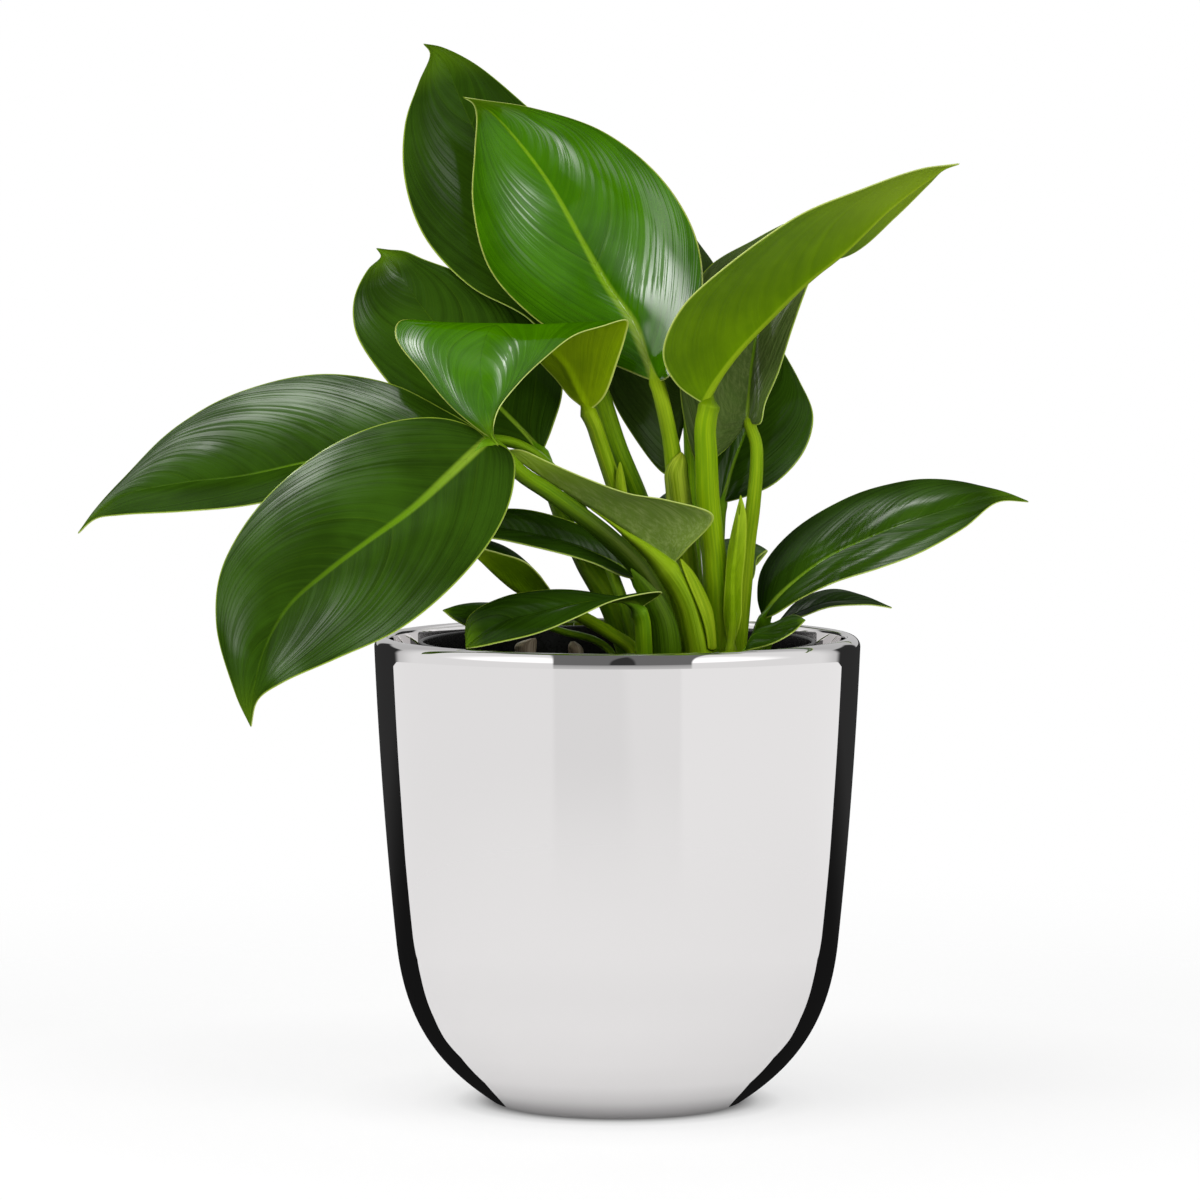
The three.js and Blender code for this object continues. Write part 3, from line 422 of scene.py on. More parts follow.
add_leaf(
    "sheath_pointed", "stalk", up=(0, 1, 0), radius=[2, 1.8],
    stalk=[(34, -6, 133.5), (34, -6, 137)],
    rows=[
        [(32, -5, 146), (34.5, -8, 146), (37, -5.5, 146)],
        [(32.5, -4.5, 158), (34.5, -8, 158), (37.5, -5, 158)],
        [(33.5, -4, 168.5), (35.5, -7.5, 168.5), (38.5, -5, 168.5)],
        [(35.5, -3.5, 178), (36.5, -6, 178), (38.5, -4.5, 178)],
    ],
    tip=(37, -4, 183.5),
)


def unit(v):
    return v / np.maximum(np.linalg.norm(v, axis=-1, keepdims=True), 1e-9)


def smooth(low, high, value):
    """A soft step from 0 at low to 1 at high."""
    x = np.clip((value - low) / (high - low), 0, 1)
    return x * x * (3 - 2 * x)


def eased(parts):
    """Shares from 0 to 1 that lie closer together at both ends."""
    i = np.linspace(0, 1, parts + 1)
    return 0.5 * i + 0.25 * (1 - np.cos(np.pi * i))


def waves(points, size, seed):
    """Soft irregular waves through space, between -1 and 1, about size millimetres long."""
    draw = np.random.default_rng(seed)
    total = np.zeros(points.shape[:-1])
    count = 7
    for _ in range(count):
        way = unit(draw.normal(size=3)) * draw.uniform(0.6, 1.5) * 2 * np.pi / size
        total += np.sin(points @ way + draw.uniform(0, 2 * np.pi))
    return total / count


class Spline:
    """A smooth curve through given points, the same one as in the solids."""

    def __init__(self, points):
        p = np.array(points, float)
        samples = 801
        self.points = np.vstack([2 * p[0] - p[1], p, 2 * p[-1] - p[-2]])
        self.spans = len(p) - 1
        self.shares = np.linspace(0, 1, samples)
        steps = np.linalg.norm(np.diff(self.at(self.shares), axis=0), axis=1)
        self.lengths = np.concatenate([[0], np.cumsum(steps)])
        self.length = self.lengths[-1]

    def at(self, share):
        """Points at shares of the number of spans."""
        place = np.clip(np.asarray(share, float), 0, 1) * self.spans
        i = np.minimum(place.astype(int), self.spans - 1)
        w = (place - i)[..., None]
        a, b, c, d = (self.points[i + k] for k in range(4))
        before, span, after = (
            np.sqrt(np.linalg.norm(q - p, axis=-1, keepdims=True)) for p, q in ((a, b), (b, c), (c, d))
        )
        start = ((b - a) / before - (c - a) / (before + span) + (c - b) / span) * span
        end = ((c - b) / span - (d - b) / (span + after) + (d - c) / after) * span
        cubic = 2 * b - 2 * c + start + end
        square = 3 * (c - b) - 2 * start - end
        return b + w * (start + w * (square + w * cubic))

    def share_at(self, part):
        """The span shares that lie at parts of the curve's length."""
        return np.interp(np.asarray(part) * self.length, self.lengths, self.shares)

    def direction(self, share):
        step = 1e-4
        return unit(self.at(np.asarray(share) + step) - self.at(np.asarray(share) - step))


def new_piece(name, node, vertices, faces, kinds, looks, values=None):
    """A smooth-shaded piece of the object from millimetre points. It may stand for a CAD node."""
    mesh = bpy.data.meshes.new(name)
    mesh.from_pydata((np.asarray(vertices) * MM).tolist(), [], faces)
    for look in looks:
        mesh.materials.append(look)
    mesh.polygons.foreach_set("material_index", kinds)
    mesh.polygons.foreach_set("use_smooth", [True] * len(mesh.polygons))
    for key, numbers in (values or {}).items():
        layer = mesh.attributes.new(key, "FLOAT", "POINT")
        layer.data.foreach_set("value", np.asarray(numbers, dtype=np.float32))
    piece = bpy.data.objects.new(name, mesh)
    bpy.context.scene.collection.objects.link(piece)
    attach(piece, "root")
    if node:
        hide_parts(node)
    return piece


def plain_piece(name, node, shape, look, sharp=None):
    """A piece with one finish. Edges that turn by more than sharp degrees stay sharp."""
    vertices, faces = shape
    piece = new_piece(name, node, vertices, faces, [0] * len(faces), [look])
    if sharp:
        piece.data.set_sharp_from_angle(angle=math.radians(sharp))


# Shader maths

class Value:
    """A node's output that Python's operators work on. Each operator adds one Math node."""

    def __init__(self, look, socket):
        self.look = look
        self.socket = socket

    def math(self, operation, first, second):
        return self.look.node("ShaderNodeMath", {"operation": operation}, {0: first, 1: second})

    def __add__(self, other):
        return self.math("ADD", self, other)

    def __radd__(self, other):
        return self.math("ADD", other, self)

    def __sub__(self, other):
        return self.math("SUBTRACT", self, other)

    def __rsub__(self, other):
        return self.math("SUBTRACT", other, self)

    def __mul__(self, other):
        return self.math("MULTIPLY", self, other)

    def __rmul__(self, other):
        return self.math("MULTIPLY", other, self)

    def __truediv__(self, other):
        return self.math("DIVIDE", self, other)

    def __rtruediv__(self, other):
        return self.math("DIVIDE", other, self)

    def __abs__(self):
        return self.math("ABSOLUTE", self, 0)

    def at_least(self, other):
        return self.math("MAXIMUM", self, other)

    def at_most(self, other):
        return self.math("MINIMUM", self, other)


class Look:
    """A node tree in the making, for a material or for the world."""

    def __init__(self, owner):
        owner.use_nodes = True
        self.owner = owner
        self.tree = owner.node_tree
        self.tree.nodes.clear()

    def node(self, kind, settings=None, sockets=None, output=0):
        """Adds a node, sets it, and joins or fills its sockets. Returns the output that is asked for."""
        made = self.tree.nodes.new(kind)
        for key, setting in (settings or {}).items():
            if key == "stops":
                self.fill_ramp(made.color_ramp, setting)
            else:
                setattr(made, key, setting)
        for key, value in (sockets or {}).items():
            if isinstance(value, Value):
                self.tree.links.new(value.socket, made.inputs[key])
            else:
                made.inputs[key].default_value = value
        return Value(self, made.outputs[output]) if made.outputs else made

    @staticmethod
    def fill_ramp(ramp, stops):
        while len(ramp.elements) < len(stops):
            ramp.elements.new(1)
        for element, (place, colour) in zip(ramp.elements, stops):
            element.position = place
            element.color = colour

    def mix(self, factor, first, second):
        """A colour between two, by a factor."""
        return self.node("ShaderNodeMix", {"data_type": "RGBA"}, {0: factor, 6: first, 7: second}, 2)

    def attribute(self, name):
        return self.node("ShaderNodeAttribute", {"attribute_name": name}, output=2)

    def part(self, vector, k):
        """The x, y or z of a vector, for a k of 0, 1 or 2."""
        return self.node("ShaderNodeSeparateXYZ", None, {0: vector}, k)

    def step(self, value, low, high):
        """A soft step from 0 at low to 1 at high."""
        return self.node(
            "ShaderNodeMapRange",
            {"interpolation_type": "SMOOTHSTEP"},
            {"Value": value, "From Min": low, "From Max": high},
        )

    def vector(self, x, y, z):
        return self.node("ShaderNodeCombineXYZ", None, {0: x, 1: y, 2: z})

    def place(self):
        return self.node("ShaderNodeTexCoord", output=3)

    def noise(self, vector, scale, detail=2, roughness=0.5):
        return self.node(
            "ShaderNodeTexNoise", None,
            {"Vector": vector, "Scale": scale, "Detail": detail, "Roughness": roughness},
        )

    def bump(self, height, distance):
        """A normal from a height, with the distance in metres."""
        return self.node("ShaderNodeBump", None, {"Height": height, "Distance": distance, "Strength": 1})

    def finished(self, shader):
        """The material, with this shader on its surface."""
        self.node("ShaderNodeOutputMaterial", None, {"Surface": shader})
        return self.owner

    def surface(self, sockets):
        """The material, with one Principled shader."""
        return self.finished(self.node("ShaderNodeBsdfPrincipled", None, sockets))

    def glow(self, level):
        """The material, black but for its own white light."""
        return self.surface({
            "Base Color": (0, 0, 0, 1),
            "Roughness": 1,
            "Specular IOR Level": 0,
            "Emission Color": level,
            "Emission Strength": 1,
        })


class LeafLook(Look):
    """A leaf's finish, with what the mesh says at each point of the blade."""

    def __init__(self, owner):
        super().__init__(owner)
        self.vein = self.attribute("vein_mm")
        self.from_rib = abs(self.attribute("rib_mm"))
        self.edge = self.attribute("edge_mm")
        self.along = self.attribute("along")
        self.rib_width = self.attribute("rib_width")

    def streaks(self, squeeze, scale, detail=2, roughness=0.5):
        """A noise drawn out along the side veins."""
        vector = self.vector(self.vein, self.from_rib * squeeze, self.along)
        return self.noise(vector, scale, detail, roughness)


def material(name, kind=Look):
    return kind(bpy.data.materials.new(name))


def colour(code, strength=1):
    """A linear colour from a code such as 2f5a18."""
    parts = [int(code[i:i + 2], 16) / 255 for i in (0, 2, 4)]
    linear = [c / 12.92 if c <= 0.04045 else ((c + 0.055) / 1.055) ** 2.4 for c in parts]
    return (*[c * strength for c in linear], 1)


# Leaf finishes

def shaded(look, face):
    """The shade attribute darkens a face with painted shade above 0 and pales it to a bloom under 0."""
    shade = look.attribute("shade")
    # Painted shade: darker green where a leaf or stalk lies in the shade of others.
    face = look.mix(shade.at_least(0), face, colour("0c2000"))
    place = look.vector(look.attribute("vein_mm") * 0.4, look.attribute("rib_mm"), 5)
    scuffs = look.step(look.noise(place, 0.9, 4, 0.7), 0.4, 0.7)
    pale = (shade * -1).at_least(0)
    return look.mix(pale * (0.6 + pale * scuffs * 2.5), face, colour("a2b26c"))


def leaf_upper(name, deep, bright, rib, margin, relief, haze, coat_ior):
    """The upper face: soft streaks along the side veins, a pale midrib, a thin pale margin and a gloss.

    relief is the height of its ripples. haze, from 0 to 1, makes the gloss duller and the midrib fade out.
    """
    look = material(name, LeafLook)
    fine = look.streaks(0.05, 1.1, 3, 0.6)
    broad = look.streaks(0.08, 0.2)
    patches = look.noise(look.place(), 40, 3)
    tone = look.step(fine * 0.14 + broad * 0.3 + patches * 0.56, 0.36, 0.64)
    face = look.mix(tone, colour(deep), colour(bright))
    strong = look.step(abs(look.noise(look.vector(look.vein, 0, 3), 0.13, 1) - 0.5), 0.009, 0.001)
    faint = look.step(abs(look.noise(look.vector(look.vein, 0, 7), 0.45, 1) - 0.5), 0.03, 0.004)
    fading = look.step(look.edge, 0.5, 5)
    face = look.mix(strong * fading * 0.08 + faint * fading * 0.03, face, colour(rib))
    face = shaded(look, face)
    on_rib = look.step(look.from_rib / (look.rib_width + 0.05), 1.5, 0.4)
    plain = 0.9 - look.step(look.along, 0.25, 0.75) * (0.2 + haze * 0.9)
    face = look.mix(on_rib * look.step(look.rib_width, 0.05, 0.6) * plain, face, colour(rib))
    face = look.mix(on_rib * look.step(look.along, 0.35, 0.02) * 0.6, face, colour(margin))
    face = look.mix(look.step(look.edge, 0.46, 0.16) * 0.95, face, colour(margin))
    face = look.mix(look.step(look.along, 0.86, 1.02) * 0.8, face, colour(rib))
    ripple = look.streaks(0.07, 0.45)
    height = fine * 0.5 + broad * 1.6 + ripple * relief + strong * -0.25 + on_rib * -0.6
    wax = look.streaks(0.08, 0.5 + haze * 0.6, 4, 0.66)
    gleam = look.attribute("gleam")
    whole = (gleam - 0.8).at_least(0)
    broken = look.step(wax * 0.8 + patches * 0.2 + whole * 0.2, 0.5 - haze * 0.1, 0.57 + haze * 0.04)
    gleam = gleam.at_most(1) * (1 - whole * 0.75)
    return look.surface({
        "Base Color": face,
        "Roughness": 0.34 + fine * 0.1,
        "IOR": 1.5,
        "Specular IOR Level": 0,
        "Coat Weight": 0.02 + gleam * (broken * 0.88 + 0.1),
        "Coat Roughness": 0.08 + haze * 0.12,
        "Coat IOR": coat_ior,
        "Normal": look.bump(height, 0.0003),
    })


def leaf_under(name, deep, bright, rib, margin, roughness):
    """The under face: paler and duller, with the side veins faintly lighter and a painted sheen towards the
    tip.
    """
    look = material(name, LeafLook)
    fine = look.streaks(0.06, 0.9, 3, 0.6)
    broad = look.streaks(0.1, 0.2)
    patches = look.noise(look.place(), 50, 4, 0.6)
    tone = look.step(fine * 0.14 + broad * 0.26 + patches * 0.6, 0.36, 0.64)
    face = shaded(look, look.mix(tone, colour(deep), colour(bright)))
    on_rib = look.step(look.from_rib - look.rib_width, 0.5, -0.2) * look.step(look.rib_width, 0.05, 0.4)
    # The midrib's pale green, and towards the tip the same pale green as a painted sheen.
    face = look.mix(on_rib * 0.75 + look.step(look.along, 0.5, 0.9) * 0.5, face, colour(rib))
    face = look.mix(look.step(look.edge, 0.62, 0.3), face, colour(margin))
    return look.surface({
        "Base Color": face,
        "Roughness": roughness + fine * 0.1,
        "IOR": 1.45,
        "Specular IOR Level": 0.3,
        "Specular Tint": (1, 1, 0.15, 1),
        "Normal": look.bump(fine * 0.6 + broad * 0.8, 0.0002),
    })


def stalk_look(name, deep, bright, foot, joint):
    """A stalk: lengthwise streaks, darker green towards its foot, and the midrib's green on the blade."""
    look = material(name)
    around = look.attribute("around")
    up = look.attribute("stalk_mm")
    along = look.attribute("along")
    streak = look.noise(look.vector(around * 2.2, up * 0.012, along), 1.6, 3, 0.6)
    mottle = look.noise(look.vector(around * 0.7, up * 0.05, 3), 0.9, 2)
    tone = look.step(streak * 0.6 + mottle * 0.4, 0.34, 0.64)
    face = look.mix(tone, colour(deep), colour(bright))
    face = look.mix(look.step(along, 0.5, 0.0) * 0.42, face, colour(foot))
    face = look.mix(look.attribute("joined"), face, colour(joint))
    # Painted shade: the side of a sloping stalk that faces down is darker.
    face = look.mix(look.attribute("below") * 0.8, face, colour("1c3c00"))
    return look.surface({
        "Base Color": shaded(look, face),
        "Roughness": 0.34 + streak * 0.14,
        "IOR": 1.45,
        "Specular IOR Level": 0.3,
        "Specular Tint": (1, 1, 0.3, 1),
        "Normal": look.bump(streak, 0.0002),
    })


def margin_look(name, pale):
    look = material(name)
    tone = look.noise(look.place(), 120, 2)
    return look.surface({
        "Base Color": look.mix(tone, colour(pale), colour(pale, 0.75)),
        "Roughness": 0.4,
        "IOR": 1.45,
    })


# Each finish has its deep and bright tones, then its midrib's and margin's, or a stalk's at its foot and
# where it joins the blade. An upper face ends with relief, haze and the coat's IOR, an under face with
# its roughness.
UPPERS = {
    "dark": leaf_upper("dark_leaf_upper", "243d08", "35570f", "6a9414", "9cb83c", 1.2, 0.5, 1.6),
    "fresh": leaf_upper("fresh_leaf_upper", "346600", "468000", "86b01c", "bccc58", 2.4, 0, 2.2),
    "under": leaf_upper("olive_leaf_upper", "24440a", "375c10", "6f9828", "a4b84a", 0.6, 1, 1.4),
    "stalk": leaf_upper("sheath_inside", "6a8c04", "8aac10", "a8c430", "a4c02c", 0.6, 1, 1.4),
}
UNDERS = {
    "dark": leaf_under("dark_leaf_under", "2c4a04", "3f6008", "6c8c20", "9cb83c", 0.45),
    "fresh": leaf_under("fresh_leaf_under", "6c8a00", "84a200", "9eb020", "bccc58", 0.45),
    "under": leaf_under("olive_leaf_under", "486a00", "5c8000", "8aa618", "a4b84a", 0.45),
    "stalk": leaf_under("sheath_outside", "6c9002", "92b418", "a8c430", "a4c02c", 0.4),
}
MARGIN = margin_look("leaf_margin", "c6d874")
STALKS = {
    "dark": stalk_look("dark_leaf_stalk", "4f7c02", "7ca40c", "2d5604", "5c8c0c"),
    "fresh": stalk_look("fresh_leaf_stalk", "6e9404", "9cb81c", "568004", "7c9a00"),
    "under": stalk_look("olive_leaf_stalk", "689202", "92b40c", "508002", "5e7c02"),
    "stalk": stalk_look("sheath_stalk", "6c9002", "92b418", "568004", "92b418"),
}


# Leaves

class Blade:
    """A leaf blade: a grid of points between its margins and its midrib, with a thickness."""

    def __init__(self, leaf, seed):
        base = leaf["stalk"][-1]
        self.leaf = leaf
        self.left, self.rib, self.right = (
            Spline([base] + [row[k] for row in leaf["rows"]] + [leaf["tip"]]) for k in range(3)
        )
        lie = np.cross(self.right.at(0.5) - self.left.at(0.5), self.rib.direction(0.5))
        self.side = 1 if lie @ np.array(leaf["up"]) > 0 else -1
        self.reach = max(np.linalg.norm(edge.at(0.5) - self.rib.at(0.5)) for edge in (self.left, self.right))
        self.shares = eased(max(30, round(self.rib.length / ROW_STEP)))
        half = eased(max(8, round(self.reach / COLUMN_STEP)))
        self.columns = np.concatenate([-half[::-1], half[1:]])
        self.middle, self.width = self.surface()
        self.normal = self.normals()
        free = smooth(0.12, 0.4, self.shares)[:, None] * np.minimum(1, self.width / self.reach)
        ripples = RIPPLE_DEPTH * waves(self.middle, RIPPLE_LENGTH, seed) * free
        self.middle = self.middle + self.normal * ripples[..., None]
        self.normal = self.normals()

    def surface(self):
        """The middle surface and its half widths, worked out as for the solids."""
        t = self.rib.share_at(self.shares)
        centre = self.rib.at(t)[:, None]
        tangent = self.rib.direction(t)[:, None]
        right = self.columns > 0
        across = np.where(right[None, :, None], self.right.at(t)[:, None], self.left.at(t)[:, None]) - centre
        normal = unit(np.cross(across, tangent))
        width = np.linalg.norm(across, axis=-1)
        share = np.abs(self.columns)[None, :]
        puff = self.leaf.get("puff", PUFF)
        lift = puff * width * 4 * share * (1 - share) * self.side * np.sign(self.columns)
        return centre + across * share[..., None] + normal * lift[..., None], width

    def normals(self):
        """The way that the upper side faces at each point."""
        along = np.gradient(self.middle, axis=0)
        across = np.gradient(self.middle, axis=1)
        along[0] = along[1]
        across[0] = across[1]
        across[-1] = across[-2]
        return unit(np.cross(across, along)) * self.side

    def values(self):
        """What the finishes read at each point of the grid."""
        share = np.abs(self.columns)[None, :]
        along_mm = (self.shares * self.rib.length)[:, None]
        bend = 0.9 * share + 0.8 * share ** 2 + 0.8 * share ** 4
        back = 1 - self.shares[:, None]
        rib_width = self.leaf.get("rib", 1) * self.reach / 24 * (0.15 + 0.35 * back + 0.8 * back ** 4)
        return {
            "rib_mm": self.width * self.columns[None, :],
            "edge_mm": self.width * (1 - share),
            "vein_mm": along_mm - self.reach * bend + 1000,
            "along": self.shares[:, None] + 0 * share,
            "rib_width": rib_width + 0 * share,
            # The leaf's painted shade above 0, its pale bloom under 0.
            "shade": self.leaf.get("shade", 0) + 0 * share + 0 * along_mm,
            "gleam": self.gleam(),
        }

    def gleam(self):
        """Where the wax shines: soft spots on the upper face, or an even weak gloss."""
        place, across = self.shares[:, None], self.columns[None, :]
        spots = self.leaf.get("gleam", [(0.5, 0, 9, 9, 0.15)])
        total = sum(
            strength * np.exp(-((place - at) / long) ** 2 - ((across - beside) / wide) ** 2)
            for at, beside, long, wide, strength in spots
        )
        return np.minimum(2, total)

    def solid(self):
        """Closed rings of points round the blade, one for each row, and what each point holds."""
        share = np.abs(self.columns)[None, :]
        half = (BLADE_THICKNESS + (EDGE_THICKNESS - BLADE_THICKNESS) * smooth(0.7, 1, share)) / 2
        rib_mm = self.width * share
        fade = 1 - self.shares[:, None]
        keel = KEEL_DEPTH * fade * np.exp(-(rib_mm / (0.4 + 1.1 * fade)) ** 2)
        groove = RIB_GROOVE_DEPTH * fade * np.exp(-(rib_mm / (0.3 + 0.5 * fade)) ** 2)
        upper = self.middle + self.normal * (half - groove)[..., None]
        under = self.middle - self.normal * (half + keel)[..., None]
        out = unit(self.middle[:, [0, -1]] - self.middle[:, [1, -2]]) * EDGE_THICKNESS * 0.35
        edges = self.middle[:, [0, -1]] + out
        ring = np.concatenate([upper, edges[:, 1:], under[:, ::-1], edges[:, :1]], axis=1)
        return ring, {
            key: np.concatenate([grid, grid[:, -1:], grid[:, ::-1], grid[:, :1]], axis=1)
            for key, grid in self.values().items()
        }


def skin(rings, ring_kinds, flip):
    """Vertices, faces and face kinds of rings joined in a row, closed by a point at both ends."""
    count, around = rings.shape[:2]
    inner = rings[1:-1].reshape(-1, 3)
    first, last = rings[0].mean(0), rings[-1].mean(0)
    vertices = np.vstack([first, inner, last])
    end = len(vertices) - 1
    faces = []
    kinds = []
    for k in range(around):
        n = (k + 1) % around
        faces.append((0, 1 + n, 1 + k) if flip else (0, 1 + k, 1 + n))
        kinds.append(ring_kinds[k])
        for i in range(count - 3):
            a, b = 1 + i * around + k, 1 + i * around + n
            quad = (a, b, b + around, a + around)
            faces.append(quad if flip else quad[::-1])
            kinds.append(ring_kinds[k])
        a, b = 1 + (count - 3) * around + k, 1 + (count - 3) * around + n
        faces.append((a, b, end) if flip else (end, b, a))
        kinds.append(ring_kinds[k])
    return vertices, faces, kinds


def skin_values(grid):
    """One number for each vertex of a skin, from one for each point of its rings."""
    return np.concatenate([[grid[0].mean()], grid[1:-1].reshape(-1), [grid[-1].mean()]])


class Stalk:
    """A leaf's stalk: it stands upright in the soil, bends to the blade and runs out under its midrib."""

    def __init__(self, leaf, blade):
        x, y = leaf["stalk"][0][:2]
        top = leaf["radius"][-1]
        up = unit(np.array(leaf["up"], float))
        reach = leaf.get("run", 1)
        run = [blade.rib.at(blade.rib.share_at(part * reach)) - up * deep * top for part, deep in STALK_RUN]
        foot = [(x, y, STALK_FOOT), (x, y, (STALK_FOOT + SOIL_TOP) / 2), (x, y, SOIL_TOP + 2)]
        self.leaf = leaf
        self.line = Spline(foot + leaf["stalk"] + run)
        self.blade_from = 1 - blade.rib.length * STALK_RUN_END * reach / self.line.length
        self.parts = np.linspace(0, 1, max(24, round(self.line.length / STALK_STEP)))
        self.from_blade = (self.parts - self.blade_from) * self.line.length
        self.centres = self.bent(leaf.get("bend", STALK_BEND))
        self.tangents = unit(np.gradient(self.centres, axis=0))
        self.frames = self.carried(np.array(leaf["up"], float))

    def bent(self, reach):
        """The centre line, with its bend at the blade's base rounded off over this many millimetres."""
        sharp = self.line.at(self.line.share_at(self.parts))
        shifts = np.linspace(-reach, reach, 9) / self.line.length
        soft = np.mean([self.line.at(self.line.share_at(self.parts + shift)) for shift in shifts], axis=0)
        near = np.exp(-(self.from_blade / (2 * reach)) ** 2)[:, None]
        return sharp + (soft - sharp) * near

    def radius(self):
        """The radius at each step, with a slight collar at the blade's base and a thin end under it."""
        given = self.leaf["radius"]
        place = np.minimum(self.parts / self.blade_from, 1) * (len(given) - 1)
        past = np.maximum(0, (self.parts - self.blade_from) / (1 - self.blade_from))
        collar = 1 + COLLAR * np.exp(-((self.from_blade / COLLAR_REACH) ** 2))
        return np.interp(place, range(len(given)), given) * collar * (0.06 + 0.94 * (1 - past) ** 2)

    def carried(self, up):
        """The upper side's direction at each step, carried down from the blade without a twist."""
        found = []
        for tangent in self.tangents[::-1]:
            up = unit(up - tangent * (up @ tangent))
            found.append(up)
        return np.array(found[::-1])

    def solid(self):
        """Rings of points up the stalk, and what each point holds."""
        angle = np.linspace(0, 2 * np.pi, STALK_SIDES, endpoint=False)[None, :]
        from_top = (angle + np.pi) % (2 * np.pi) - np.pi
        radius = self.radius()[:, None]
        side = np.cross(self.tangents, self.frames)
        groove = STALK_GROOVE * np.exp(-(from_top / 0.45) ** 2)
        outward = self.frames[:, None] * np.cos(angle)[..., None] + side[:, None] * np.sin(angle)[..., None]
        ring = self.centres[:, None] + outward * (radius * (1 - groove))[..., None]
        flat = 0 * angle + 0 * radius
        return ring, {
            "around": flat + np.abs(from_top) * 2,
            "stalk_mm": flat + (self.parts * self.line.length)[:, None],
            "along": flat + self.parts[:, None],
            # Painted shade: darker on the lower stalk, fading out towards the blade, and on the side that
            # faces down.
            "shade": flat + self.leaf.get("stalk_shade", 0) * smooth(0.75, 0.45, self.parts)[:, None],
            "below": smooth(-0.1, 0.8, -outward[..., 2]),
            "joined": flat + smooth(self.blade_from - 0.06, self.blade_from + 0.04, self.parts)[:, None],
        }


def build_leaf(leaf, seed):
    """Blade and stalk as one piece, with four finishes: upper face, margin, under face and stalk."""
    blade = Blade(leaf, seed)
    ring, values = blade.solid()
    half = len(blade.columns) - 1
    vertices, faces, kinds = skin(ring, [0] * half + [1, 1] + [2] * half + [1, 1], blade.side < 0)
    tube, tube_values = Stalk(leaf, blade).solid()
    more, more_faces, more_kinds = skin(tube, [3] * STALK_SIDES, True)
    start = len(vertices)
    faces += [tuple(v + start for v in face) for face in more_faces]
    merged = {}
    for key in sorted(set(values) | set(tube_values)):
        on_blade = skin_values(values[key]) if key in values else np.zeros(len(vertices))
        on_stalk = skin_values(tube_values[key]) if key in tube_values else np.zeros(len(more))
        merged[key] = np.concatenate([on_blade, on_stalk])
    look = leaf["look"]
    margin = UNDERS[look] if look == "stalk" else MARGIN
    looks = [UPPERS[look], margin, UNDERS[look], STALKS[leaf.get("stalk_look", look)]]
    return new_piece(
        leaf["name"] + "_skin", leaf["name"],
        np.vstack([vertices, more]), faces, kinds + more_kinds, looks, merged,
    )


for number, leaf in enumerate(LEAVES):
    made = build_leaf(leaf, number)
    if leaf["name"] == "leaf_front_left":
        # Its tip would show in the planter, and the photo shows no such reflection.
        made.visible_glossy = False


# Sheaths and dry scales

SCALE_LOOKS = {
    "brown": stalk_look("brown_scale", "6a8602", "b0c438", "667e02", "7c7c1c"),
    "pale": stalk_look("pale_sheath", "749806", "a4be22", "608a04", "a4be22"),
    "green": stalk_look("green_sheath", "2a4602", "446604", "223a02", "446604"),
    "dry": stalk_look("dry_sheath", "6a5c4c", "a39682", "4c4034", "a39682"),
}


def build_scale(name, look, rows):
    """A thin curved sheet through rows of [one side, middle, other side], closed round its edge."""
    sides = [Spline([row[k] for row in rows]) for k in range(3)]
    parts = np.linspace(0, 1, SCALE_ROWS)
    left, centre, right = (side.at(parts)[:, None] for side in sides)
    share = np.linspace(-1, 1, SCALE_COLUMNS)[None, :, None]
    middle = centre + (right - left) / 2 * share + ((right + left) / 2 - centre) * share ** 2
    normal = unit(np.cross(np.gradient(middle, axis=1), np.gradient(middle, axis=0)))
    half = normal * SCALE_THICKNESS / 2
    ring = np.concatenate([middle + half, (middle - half)[:, ::-1]], axis=1)
    vertices, faces, kinds = skin(ring, [0] * ring.shape[1], False)
    corners = np.array([vertices[list(face)[:3]] for face in faces])
    if np.einsum("ij,ij->i", corners[:, 0], np.cross(corners[:, 1], corners[:, 2])).sum() < 0:
        faces = [face[::-1] for face in faces]
    flat = np.zeros(ring.shape[:2])
    around = np.concatenate([share[0, :, 0], share[0, ::-1, 0]])
    values = {
        "around": flat + around * 3,
        "stalk_mm": flat + (parts * sides[1].length)[:, None],
        "along": flat + 0.4 + 0.6 * parts[:, None],
        "joined": flat + 0.6 * smooth(0.7, 1, parts)[:, None],
    }
    new_piece(
        name, None, vertices, faces, kinds, [SCALE_LOOKS[look]],
        {key: skin_values(grid) for key, grid in values.items()},
    )


build_scale("brown_scale", "brown", [
    [(15.2, 2.6, 179), (18.9, -1, 179), (22.6, 2.4, 179)],
    [(14.6, 1.8, 185), (18.1, -1.8, 185), (21.8, 1.6, 185)],
    [(14.4, 0.8, 190), (17.6, -2.4, 190), (21.1, 0.8, 190)],
    [(16, -0.8, 193.4), (18.4, -2.4, 193.4), (20.8, -0.2, 193.4)],
    [(19.2, -1.7, 196.2), (19.3, -1.8, 196.3), (19.4, -1.7, 196.2)],
])
build_scale("pale_wing", "pale", [
    [(27.2, -13, 137), (28.6, -11.6, 137), (29.6, -9.4, 137)],
    [(26.4, -13.6, 143), (28, -12.2, 143), (29.2, -9.8, 143)],
    [(24.6, -14, 149), (26.6, -12.8, 149), (28.4, -10.2, 149)],
    [(22.2, -14, 155), (24.2, -13, 155), (26, -10.8, 155)],
    [(20, -13.6, 160.5), (21.6, -12.8, 160.5), (22.8, -11.4, 160.5)],
    [(18.6, -12.8, 165), (18.7, -12.8, 165.1), (18.8, -12.7, 165)],
])
